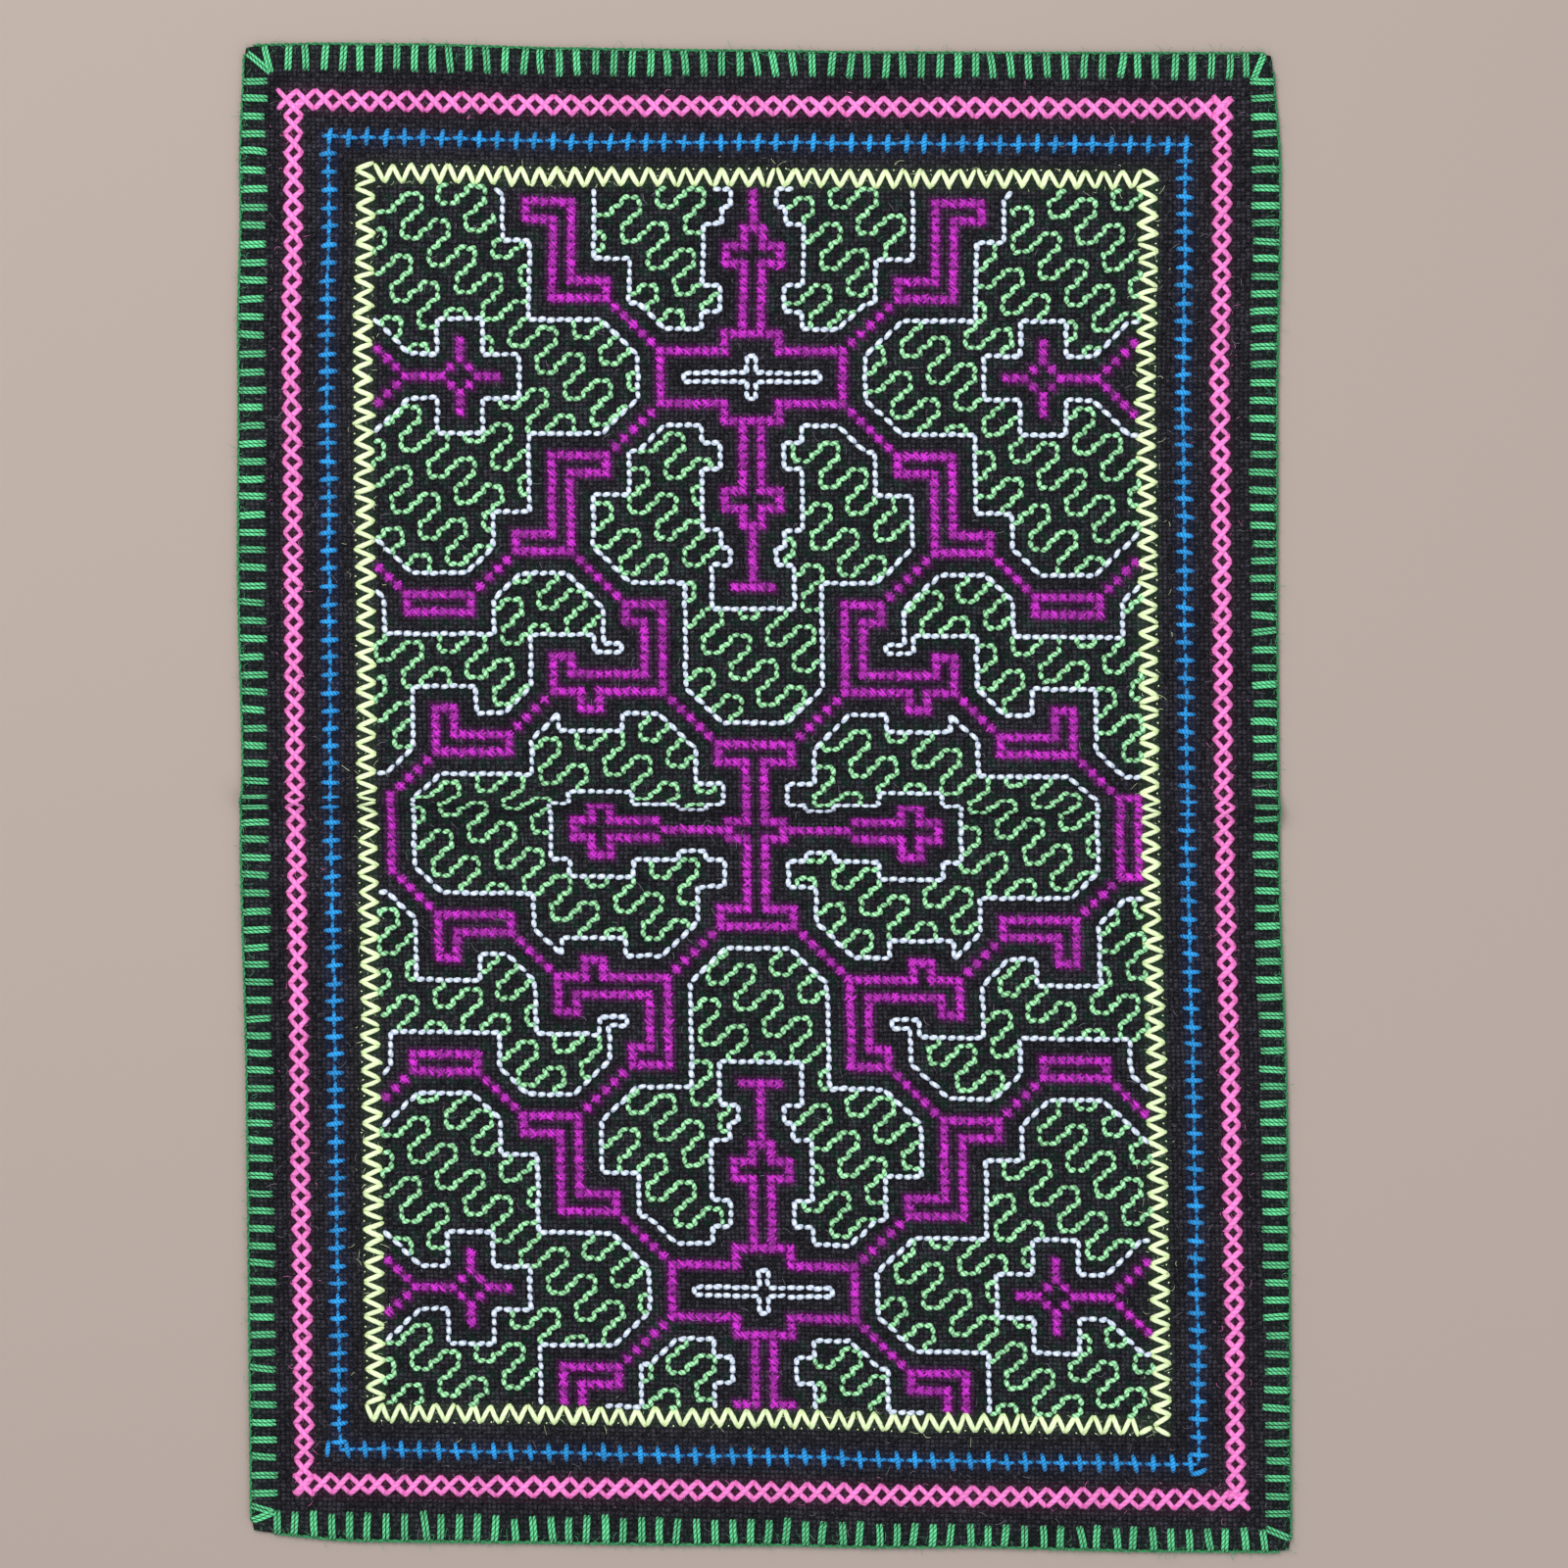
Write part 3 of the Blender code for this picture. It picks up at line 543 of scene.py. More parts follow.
def beside(part, offset):
    """The same stitches moved sideways, as the second strand of a doubled yarn."""
    way = np.gradient(part["centres"][:, :, :2], axis=1)
    way /= np.linalg.norm(way, axis=2, keepdims=True) + 1e-12
    moved = dict(part)
    centres = part["centres"].copy()
    centres[:, :, 0] -= way[:, :, 1] * offset
    centres[:, :, 1] += way[:, :, 0] * offset
    moved["centres"] = centres
    return moved


def yarn_piece(name, part, material, sides=8):
    """One mesh of round strands from sets of stitches, laid on the cloth."""
    centres, widths, heights = part["centres"], part["widths"], part["heights"]
    count, rings = widths.shape
    way = np.gradient(centres, axis=1)
    way /= np.linalg.norm(way, axis=2, keepdims=True) + 1e-12
    sideways = np.stack([-way[:, :, 1], way[:, :, 0], np.zeros((count, rings))], axis=2)
    sideways /= np.linalg.norm(sideways, axis=2, keepdims=True) + 1e-12
    upwards = np.cross(way, sideways)
    upwards *= np.where(upwards[:, :, 2:] < 0, -1, 1)
    turn = np.arange(sides) / sides
    angle = math.tau * turn - math.pi / 2
    ring = sideways[:, :, None, :] * (np.cos(angle)[None, None, :, None] * widths[:, :, None, None])
    ring = ring + upwards[:, :, None, :] * (np.sin(angle)[None, None, :, None] * heights[:, :, None, None])
    flat = (centres[:, :, None, :] + ring).reshape(-1, 3)
    across, down = flat[:, 0] / STITCH_ACROSS, -flat[:, 1] / STITCH_DOWN
    ground = cloth_top(across, down)
    if "ground" in part:
        ground = np.repeat(part["ground"].reshape(-1), sides)
    points = lie(across, down, np.maximum(ground + flat[:, 2], LOWEST_YARN))
    step = np.linalg.norm(np.diff(centres, axis=1), axis=2)
    along = np.concatenate([np.zeros((count, 1)), np.cumsum(step, axis=1)], axis=1) * MILLIMETRES
    along = along + part["luck"] * TWIST_SHIFT
    strand = np.zeros((count, rings, sides, 3))
    strand[..., 0] = along[:, :, None]
    strand[..., 1] = turn[None, None, :]
    strand[..., 2] = part["luck"][:, :, None]
    # middle and crown carry the painted shade of the yarn colour: middle falls towards a stitch's ends where
    # it dives, crown towards the foot of the strand
    middle = np.repeat(part["middle"].reshape(-1), sides)
    crown = np.tile((np.sin(angle) + 1) / 2, count * rings)
    number = np.arange(count * rings * sides).reshape(count, rings, sides)
    next_side = np.roll(number, -1, axis=2)
    ring_faces = [number[:, :-1], next_side[:, :-1], next_side[:, 1:], number[:, 1:]]
    quads = np.stack(ring_faces, axis=3).reshape(-1, 4)
    attributes = {"strand": strand.reshape(-1, 3), "middle": middle, "crown": crown}
    return make_piece(name, points, quads, material, attributes)


def charted_squares(chart, turns):
    """The counted squares that the lines of a chart run over, turned to each part of the field."""
    squares = set()
    for line in chart.values():
        for (x, y), (end_x, end_y) in zip(line, line[1:]):
            count = max(abs(end_x - x), abs(end_y - y))
            for step in range(count + 1):
                place = (x + (end_x - x) * step / count, y + (end_y - y) * step / count)
                for side, start, way in turns:
                    squares.add((side * place[0], start + way * place[1]))
    worked = set()
    for x, y in squares:
        if FIELD["left"] <= x <= FIELD["right"] and FIELD["top"] <= y <= FIELD["bottom"]:
            moved = abs(x) == HOOK_COLUMN and y < HOOK_ROW
            worked.add((x - math.copysign(1, x), y) if moved else (x, y))
    return sorted(
        (x, y) for x, y in worked - BARE_SQUARES if y > LAST_ROW_AT_TOP or abs(x) <= STEM_REACH
    )


def half_places(line):
    """A charted outline's points, the ones on a mirror line moved half a stitch across it."""
    places = []
    for index, (x, y) in enumerate(line):
        other = line[index + 1] if index == 0 else line[index - 1]
        if x == int(x):
            x = x - 0.5 if other[0] > x else x + 0.5
        if y == int(y):
            y = y - 0.5 if other[1] > y or y == 0 else y + 0.5
        places.append((x, y))
    return places


def as_worked(across, down):
    """A place of an outline, moved near the top, where the shapes run straight to the border."""
    side = math.copysign(1, across)
    for change in DRAWN_IN:
        low, high = change["between"]
        if down < change["above"] and low < abs(across) < high:
            return side * change["to"] if "to" in change else across - side * change["by"], down
    return across, down


def outline_steps():
    """Backstitches one square long, straight or corner to corner, along every outline in the field."""
    steps = set()
    for line in OUTLINE_CHART.values():
        places = half_places(line)
        for (x, y), (end_x, end_y) in zip(places, places[1:]):
            count = round(max(abs(end_x - x), abs(end_y - y)))
            for step in range(count):
                here = (x + (end_x - x) * step / count, y + (end_y - y) * step / count)
                there = (x + (end_x - x) * (step + 1) / count, y + (end_y - y) * (step + 1) / count)
                for side, start, way in TURNS:
                    ends = [as_worked(side * px, start + way * py) for px, py in (here, there)]
                    shown = all(in_field(place) and not in_bare_corner(place) for place in ends)
                    if shown and ends[0] != ends[1]:
                        steps.add(tuple(sorted(ends)))
    return sorted(steps)


def in_field(place):
    """True where a counted place is in the field."""
    across_fits = FIELD["left"] - EDGE_SLACK <= place[0] <= FIELD["right"] + EDGE_SLACK
    return across_fits and FIELD["top"] - EDGE_SLACK <= place[1] <= FIELD["bottom"] + EDGE_SLACK


def in_bare_corner(place):
    """True where a counted place is in a corner of the field that is left without an outline."""
    return abs(place[0]) > BARE_CORNER[0] and place[1] < BARE_CORNER[1]


def closed_shape(name, start, open_corner):
    """The polygon of a charted shape and its own mirror half; an open corner of the field is taken in."""
    line = list(OUTLINE_CHART[name])
    if name == "middle shape":
        return [(x if x else -PAST_MIRROR_LINE, y) for x, y in line]
    if name == "side shape":
        turned = [(x, -y) for x, y in reversed(line)]
        if start == 0:
            turned[turned.index((28.5, -19.5))] = (28.5, -22.5)
        if open_corner:
            return turned[1:] + line + [(OUTSIDE, 17.5), (OUTSIDE, -22.5)]
        return turned + line + [(OUTSIDE, 17.5), (OUTSIDE, -17.5)]
    if name == "arm shape":
        return line + [(x, REPEAT_ROW - y) for x, y in reversed(line)]
    return line + [(OUTSIDE, 45.5), (OUTSIDE, 23.5)]


def inside(shape, place):
    """True where a place is inside a polygon."""
    x, y = place
    hit = False
    for (ax, ay), (bx, by) in zip(shape, shape[1:] + shape[:1]):
        if (ay > y) != (by > y) and x < (bx - ax) * (y - ay) / (by - ay) + ax:
            hit = not hit
    return hit


def fill_steps(outline):
    """The stitches of the winding filling inside every shape."""
    taken = set(outline)
    steps = set()
    half_opening = list(OUTLINE_CHART["side opening"])
    opening = [(x, -y) for x, y in reversed(half_opening)] + half_opening
    opening += [(OUTSIDE, 6.5), (OUTSIDE, -6.5)]
    for (name, side, start, way), first in FILL_STARTS.items():
        shape = closed_shape(name, start, side == 1 and start == 0)
        for along in range(-FILL_REPEATS, FILL_REPEATS + 1):
            for aside in range(-FILL_REPEATS, FILL_REPEATS + 1):
                x = first[0] + along * FILL_ALONG[0] + aside * FILL_BESIDE[0]
                y = first[1] + along * FILL_ALONG[1] + aside * FILL_BESIDE[1]
                if abs(x) > FILL_LIMITS["side"] or not FILL_LIMITS["top"] < y < FILL_LIMITS["bottom"]:
                    continue
                for dx, dy in FILL_PATH:
                    here, there = (x, y), (x + dx, y + dy)
                    x, y = there
                    ends = [(side * px, (py - start) * way) for px, py in (here, there)]
                    centre = ((ends[0][0] + ends[1][0]) / 2, (ends[0][1] + ends[1][1]) / 2)
                    step = tuple(sorted((here, there)))
                    if step in taken or not (in_field(here) and in_field(there)):
                        continue
                    if inside(shape, centre) and not (name == "side shape" and inside(opening, centre)):
                        steps.add(step)
    return whole_runs(steps)


def whole_runs(steps):
    """The stitches of the filling that join in runs of three or more."""
    around = {}
    for step in steps:
        for end in step:
            around.setdefault(end, []).append(step)
    kept, seen = [], set()
    for first in sorted(steps):
        run, waiting = [], [first]
        while waiting:
            step = waiting.pop()
            if step not in seen:
                seen.add(step)
                run.append(step)
                waiting += around[step[0]] + around[step[1]]
        if len(run) >= SHORTEST_RUN:
            kept += run
    return sorted(kept)


# Node helpers


def add_node(tree, kind, name=None, **settings):
    """A node with its properties set."""
    node = tree.nodes.new(kind)
    if name:
        node.name = node.label = name
    for key, value in settings.items():
        setattr(node, key, value)
    return node


def feed(tree, node, values):
    """Sets or links each named or numbered input of a node."""
    for key, value in values.items():
        socket = node.inputs[key]
        if isinstance(value, bpy.types.NodeSocket):
            tree.links.new(value, socket)
        else:
            socket.default_value = value
    return node


def maths(tree, operation, *values, clamp=False):
    """The result of a Math node."""
    node = add_node(tree, "ShaderNodeMath", operation=operation, use_clamp=clamp)
    return feed(tree, node, dict(enumerate(values))).outputs[0]


def mix_colours(tree, factor, first, second, blend="MIX"):
    """The result of a colour Mix node, with colours given as three numbers or a link."""
    node = add_node(tree, "ShaderNodeMix", data_type="RGBA", blend_type=blend)
    sockets = [s for s in node.inputs if s.type == "RGBA"]
    tree_inputs = ((node.inputs[0], factor), (sockets[0], first), (sockets[1], second))
    for socket, value in tree_inputs:
        if isinstance(value, bpy.types.NodeSocket):
            tree.links.new(value, socket)
        elif isinstance(value, tuple):
            socket.default_value = (*value, 1.0)
        else:
            socket.default_value = value
    return [s for s in node.outputs if s.type == "RGBA"][0]


def new_group(name, inputs, outputs):
    """An empty shader node group with named inputs and outputs."""
    group = bpy.data.node_groups.new(name, "ShaderNodeTree")
    for label, kind, value in inputs:
        socket = group.interface.new_socket(label, in_out="INPUT", socket_type=kind)
        if value is not None:
            socket.default_value = value
    for label, kind in outputs:
        group.interface.new_socket(label, in_out="OUTPUT", socket_type=kind)
    start = group.nodes.new("NodeGroupInput")
    end = group.nodes.new("NodeGroupOutput")
    return group, start, end


def make_ply_twist():
    """Relief of twisted yarn: plies that wind round the strand, with fine fibres along them."""
    group, start, end = new_group(
        "Ply twist",
        [
            ("Strand", "NodeSocketVector", None),
            ("Lay", "NodeSocketFloat", 2.0),
            ("Plies", "NodeSocketFloat", 2.0),
            ("Fibres", "NodeSocketFloat", 0.35),
        ],
        [("Height", "NodeSocketFloat"), ("Groove", "NodeSocketFloat")],
    )
    parts = add_node(group, "ShaderNodeSeparateXYZ")
    group.links.new(start.outputs["Strand"], parts.inputs[0])
    wound = maths(group, "DIVIDE", parts.outputs[0], start.outputs["Lay"])
    turned = maths(group, "SUBTRACT", parts.outputs[1], wound)
    angle = maths(group, "MULTIPLY", maths(group, "MULTIPLY", turned, start.outputs["Plies"]), math.pi)
    ply = maths(group, "POWER", maths(group, "ABSOLUTE", maths(group, "SINE", angle)), 0.9)
    place = add_node(group, "ShaderNodeCombineXYZ")
    feed(group, place, {
        0: maths(group, "MULTIPLY", parts.outputs[0], 0.9),
        1: maths(group, "MULTIPLY", turned, 9.0),
        2: maths(group, "MULTIPLY", parts.outputs[2], 37.0),
    })
    fibre = add_node(group, "ShaderNodeTexNoise", "Fibres")
    feed(group, fibre, {"Vector": place.outputs[0], "Scale": 1.6, "Detail": 3.0, "Roughness": 0.6})
    uneven = maths(group, "SUBTRACT", fibre.outputs[0], 0.5)
    ragged = maths(group, "MULTIPLY", uneven, start.outputs["Fibres"])
    height = maths(group, "ADD", ply, ragged)
    # The groove mask also darkens the yarn's colour between the plies as painted shade
    groove = maths(group, "SUBTRACT", 1.0, height, clamp=True)
    group.links.new(height, end.inputs["Height"])
    group.links.new(groove, end.inputs["Groove"])
    return group


def make_stitch_colour_and_shade():
    """Colour over a stitch with painted shade: darker between plies, at its ends where it dives into the
    cloth and at the foot of the strand, so it shows lighter on its crown; each one different.
    """
    group, start, end = new_group(
        "Stitch colour and painted shade",
        [
            ("Strand", "NodeSocketVector", None),
            ("Middle", "NodeSocketFloat", 1.0),
            ("Crown", "NodeSocketFloat", 1.0),
            ("Groove", "NodeSocketFloat", 0.0),
            ("Painted groove shade", "NodeSocketFloat", 0.8),
            ("Yarn", "NodeSocketColor", None),
            ("Shade", "NodeSocketColor", None),
            ("Variation", "NodeSocketFloat", 0.2),
        ],
        [("Colour", "NodeSocketColor")],
    )
    parts = add_node(group, "ShaderNodeSeparateXYZ")
    group.links.new(start.outputs["Strand"], parts.inputs[0])
    # Painted shade: darker towards the stitch's ends where it dives into the cloth, and at the foot of the
    # strand below its crown
    ends = maths(group, "POWER", maths(group, "SUBTRACT", 1.0, start.outputs["Middle"], clamp=True), 1.2)
    low = maths(group, "POWER", maths(group, "SUBTRACT", 1.0, start.outputs["Crown"], clamp=True), 2.0)
    # Painted shade in the grooves between the plies
    painted_groove_shade = maths(group, "MULTIPLY", start.outputs["Groove"], start.outputs["Painted groove shade"])
    painted_end_and_foot_shade = maths(group, "MAXIMUM", ends, maths(group, "MULTIPLY", low, 0.8))
    shaded = maths(group, "ADD", painted_end_and_foot_shade, painted_groove_shade, clamp=True)
    base = mix_colours(group, shaded, start.outputs["Yarn"], start.outputs["Shade"])
    luck = maths(group, "SUBTRACT", parts.outputs[2], 0.5)
    mottle = add_node(group, "ShaderNodeTexNoise", "Mottle")
    feed(group, mottle, {"Vector": start.outputs["Strand"], "Scale": 0.8, "Detail": 2.0})
    drift = maths(group, "ADD", luck, maths(group, "SUBTRACT", mottle.outputs[0], 0.5))
    value = maths(group, "ADD", 1.0, maths(group, "MULTIPLY", drift, start.outputs["Variation"]))
    tone = add_node(group, "ShaderNodeHueSaturation")
    group.links.new(value, tone.inputs["Value"])
    group.links.new(base, tone.inputs["Color"])
    group.links.new(tone.outputs[0], end.inputs["Colour"])
    return group


def make_evenweave():
    """Plain weave of slubby threads: relief, and a mask of the raised ones for painted light on their crests
    and painted shade in the gaps, brighter on some crossings.
    """
    group, start, end = new_group(
        "Evenweave",
        [
            ("Counted place", "NodeSocketVector", None),
            ("Threads per stitch", "NodeSocketFloat", 2.0),
            ("Unevenness", "NodeSocketFloat", 0.15),
        ],
        [("Height", "NodeSocketFloat"), ("Thread", "NodeSocketFloat")],
    )
    wander = add_node(group, "ShaderNodeTexNoise", "Uneven threads")
    feed(group, wander, {"Vector": start.outputs[0], "Scale": 0.9, "Detail": 3.0})
    centred = add_node(group, "ShaderNodeVectorMath", operation="SUBTRACT")
    feed(group, centred, {0: wander.outputs["Color"], 1: (0.5, 0.5, 0.5)})
    amount = add_node(group, "ShaderNodeVectorMath", operation="SCALE")
    feed(group, amount, {0: centred.outputs[0], "Scale": start.outputs["Unevenness"]})
    moved = add_node(group, "ShaderNodeVectorMath", operation="ADD")
    feed(group, moved, {0: start.outputs[0], 1: amount.outputs[0]})
    threads = add_node(group, "ShaderNodeVectorMath", operation="SCALE")
    feed(group, threads, {0: moved.outputs[0], "Scale": start.outputs["Threads per stitch"]})
    parts = add_node(group, "ShaderNodeSeparateXYZ")
    feed(group, parts, {0: threads.outputs[0]})
    crossing = add_node(group, "ShaderNodeVectorMath", operation="FLOOR")
    feed(group, crossing, {0: threads.outputs[0]})
    luck = add_node(group, "ShaderNodeTexWhiteNoise", "Luck of a crossing", noise_dimensions="3D")
    feed(group, luck, {"Vector": crossing.outputs[0]})
    cell = add_node(group, "ShaderNodeSeparateXYZ")
    feed(group, cell, {0: crossing.outputs[0]})
    odd = maths(group, "MODULO", maths(group, "ADD", cell.outputs[0], cell.outputs[1]), 2.0)
    over = maths(group, "ABSOLUTE", odd)
    warp, weft = (
        maths(group, "ABSOLUTE", maths(group, "SINE", maths(group, "MULTIPLY", direction, math.pi)))
        for direction in parts.outputs[:2]
    )
    warp_top = maths(group, "MULTIPLY", maths(group, "POWER", warp, 1.4), maths(group, "POWER", weft, 0.5))
    weft_top = maths(group, "MULTIPLY", maths(group, "POWER", weft, 1.4), maths(group, "POWER", warp, 0.5))
    height = maths(
        group, "ADD",
        maths(group, "MULTIPLY", warp_top, over),
        maths(group, "MULTIPLY", weft_top, maths(group, "SUBTRACT", 1.0, over)),
    )
    uneven = maths(group, "MULTIPLY_ADD", maths(group, "POWER", luck.outputs["Value"], 2.2), 2.0, 0.22)
    group.links.new(height, end.inputs["Height"])
    # Painted light and shade: the mask rises to the crests of the raised threads and falls to nothing in the
    # gaps
    thread = maths(group, "MULTIPLY", maths(group, "POWER", height, 1.5), uneven)
    group.links.new(thread, end.inputs["Thread"])
    return group


def make_fine_fuzz():
    """Fine loose fibres that lie about on a textile: a mask in flecks and short lines."""
    group, start, end = new_group(
        "Fine fuzz",
        [
            ("Place", "NodeSocketVector", None),
            ("Scale", "NodeSocketFloat", 1.0),
            ("Amount", "NodeSocketFloat", 0.5),
        ],
        [("Fuzz", "NodeSocketFloat"), ("Cloudiness", "NodeSocketFloat")],
    )
    masks = []
    lines = (("Fibres one way", (1.0, 5.0, 1.0), 0.5), ("Fibres other way", (5.0, 1.0, 1.0), 0.9))
    for label, stretch, turn in lines:
        mapping = add_node(group, "ShaderNodeMapping")
        group.links.new(start.outputs["Place"], mapping.inputs["Vector"])
        mapping.inputs["Scale"].default_value = stretch
        mapping.inputs["Rotation"].default_value = (0.0, 0.0, turn)
        noise = add_node(group, "ShaderNodeTexNoise", label)
        group.links.new(mapping.outputs[0], noise.inputs["Vector"])
        group.links.new(start.outputs["Scale"], noise.inputs["Scale"])
        noise.inputs["Detail"].default_value = 4.0
        noise.inputs["Roughness"].default_value = 0.65
        peaks = maths(group, "SUBTRACT", noise.outputs[0], 0.52, clamp=True)
        masks.append(maths(group, "MULTIPLY", peaks, 5.0))
    fuzz = maths(group, "MAXIMUM", *masks)
    group.links.new(maths(group, "MULTIPLY", fuzz, start.outputs["Amount"], clamp=True), end.inputs["Fuzz"])
    cloud = add_node(group, "ShaderNodeTexNoise", "Clouds")
    group.links.new(start.outputs["Place"], cloud.inputs["Vector"])
    cloud.inputs["Scale"].default_value = 0.11
    cloud.inputs["Detail"].default_value = 3.0
    group.links.new(cloud.outputs[0], end.inputs["Cloudiness"])
    return group


GROUPS = {
    "twist": make_ply_twist(),
    "stitch colour and shade": make_stitch_colour_and_shade(),
    "weave": make_evenweave(),
    "fuzz": make_fine_fuzz(),
}


def place_group(tree, group, values):
    """Places a node group in a material with its own values."""
    node = add_node(tree, "ShaderNodeGroup", GROUPS[group].name, node_tree=GROUPS[group])
    return feed(tree, node, values)


def start_material(name):
    """An empty node material, its tree and its Principled shader."""
    material = bpy.data.materials.new(name)
    material.use_nodes = True
    tree = material.node_tree
    shader = tree.nodes["Principled BSDF"]
    return material, tree, shader


def attribute(tree, label):
    """A named attribute of the mesh's points."""
    return add_node(tree, "ShaderNodeAttribute", label, attribute_name=label)


def bump(tree, height, strength, distance):
    """The normal of a relief."""
    node = add_node(tree, "ShaderNodeBump")
    feed(tree, node, {"Height": height, "Strength": strength, "Distance": distance})
    return node.outputs["Normal"]


def yarn_material(name, kind, variation=0.2, groove_shade=0.8, sheen=0.1, roughness=0.8, relief=0.00022, plies=2.0):
    """Twisted yarn: plies and fibres in relief, painted shade between them, at its foot and where a stitch
    dives.
    """
    material, tree, shader = start_material(name)
    strand = attribute(tree, "strand")
    middle = attribute(tree, "middle")
    crown = attribute(tree, "crown")
    colour, shade = COLOURS[kind]
    twist = place_group(tree, "twist", {
        "Strand": strand.outputs["Vector"],
        "Lay": YARNS[kind]["lay"] * MILLIMETRES,
        "Plies": plies,
        "Fibres": 0.5,
    })
    # The yarn's colour with painted shade between the plies, at the foot of the strand and at the stitch's
    # ends
    tint = place_group(tree, "stitch colour and shade", {
        "Strand": strand.outputs["Vector"],
        "Middle": middle.outputs["Fac"],
        "Crown": crown.outputs["Fac"],
        "Groove": twist.outputs["Groove"],
        "Painted groove shade": groove_shade,
        "Yarn": (*colour, 1.0),
        "Shade": (*shade, 1.0),
        "Variation": variation,
    })
    tree.links.new(tint.outputs["Colour"], shader.inputs["Base Color"])
    tree.links.new(bump(tree, twist.outputs["Height"], 0.8, relief), shader.inputs["Normal"])
    shader.inputs["Roughness"].default_value = roughness
    shader.inputs["Sheen Weight"].default_value = sheen
    shader.inputs["Sheen Roughness"].default_value = 0.5
    shader.inputs["Specular IOR Level"].default_value = 0.22
    return material


def cloth_material():
    """Black evenweave: raised threads that show lighter on their crests as painted light, dark gaps of
    painted shade, grey-violet fuzz and the tint of fibres near the yarn.
    """
    material, tree, shader = start_material("black evenweave")
    counted = attribute(tree, "counted")
    tint = attribute(tree, "yarn tint")
    weave = place_group(tree, "weave", {"Counted place": counted.outputs["Vector"], "Unevenness": 0.35})
    fuzz = place_group(tree, "fuzz", {"Place": counted.outputs["Vector"], "Scale": 2.2, "Amount": 0.6})
    # Painted shade in the gaps of the weave, with the thread colour shown fully only on the crests of the
    # raised threads
    base = mix_colours(tree, weave.outputs["Thread"], COLOURS["painted gap shade"], COLOURS["cloth thread"])
    hazed = mix_colours(tree, fuzz.outputs["Fuzz"], base, COLOURS["cloth haze"])
    cloud = maths(tree, "MULTIPLY_ADD", fuzz.outputs["Cloudiness"], 0.9, 0.55)
    tone = add_node(tree, "ShaderNodeHueSaturation", "Cloudy tone")
    feed(tree, tone, {"Value": cloud, "Color": hazed})
    tinted = mix_colours(tree, 1.0, tone.outputs[0], tint.outputs["Color"], blend="ADD")
    tree.links.new(tinted, shader.inputs["Base Color"])
    relief = maths(tree, "ADD", weave.outputs["Height"], maths(tree, "MULTIPLY", fuzz.outputs["Fuzz"], 0.5))
    tree.links.new(bump(tree, relief, 1.0, 0.0006), shader.inputs["Normal"])
    shader.inputs["Roughness"].default_value = 0.95
    shader.inputs["Specular IOR Level"].default_value = 0.04
    shader.inputs["Sheen Weight"].default_value = 0.01
    shader.inputs["Sheen Roughness"].default_value = 0.6
    return material


def grid_lines(low, high, extra):
    """Lines of the panel's surface: every whole stitch, with the hem's own lines and the extra ones."""
    start, stop = RIM[low], RIM[high]
    special = [start, start + HEM_ROLL, start + HEM_WIDTH, start + HEM_WIDTH + HEM_STEP]
    special += [stop - HEM_WIDTH - HEM_STEP, stop - HEM_WIDTH, stop - HEM_ROLL, stop]
    special += list(extra)
    lines = set(special)
    for stitch in range(math.ceil(start), math.floor(stop) + 1):
        if min(abs(stitch - place) for place in special) > HEM_LINE_CLEARANCE:
            lines.add(float(stitch))
    return np.array(sorted(lines))


def tint_of(across, down, purple, filled):
    """Colour that loose fibres give to the black cloth near each yarn."""
    colour = np.zeros((len(across), 3))
    for row, reach, tone in ROW_HAZE:
        beyond_x = np.maximum(row["left"] - across, across - row["right"])
        beyond_y = np.maximum(row["top"] - down, down - row["bottom"])
        away = np.abs(np.maximum(beyond_x, beyond_y))
        outside = (beyond_x > 0) & (beyond_y > 0)
        away = np.where(outside, np.hypot(beyond_x, beyond_y), away)
        strength = np.clip(HAZE_STRENGTH * (1 - away / reach), 0, 1)[:, None]
        colour += strength * np.array(tone)
    places = [(round(x), round(y)) for x, y in zip(across, down)]
    colour += np.array([place in purple for place in places])[:, None] * np.array(PURPLE_HAZE)
    colour += np.array([place in filled for place in places])[:, None] * np.array(FILLING_HAZE)
    return colour


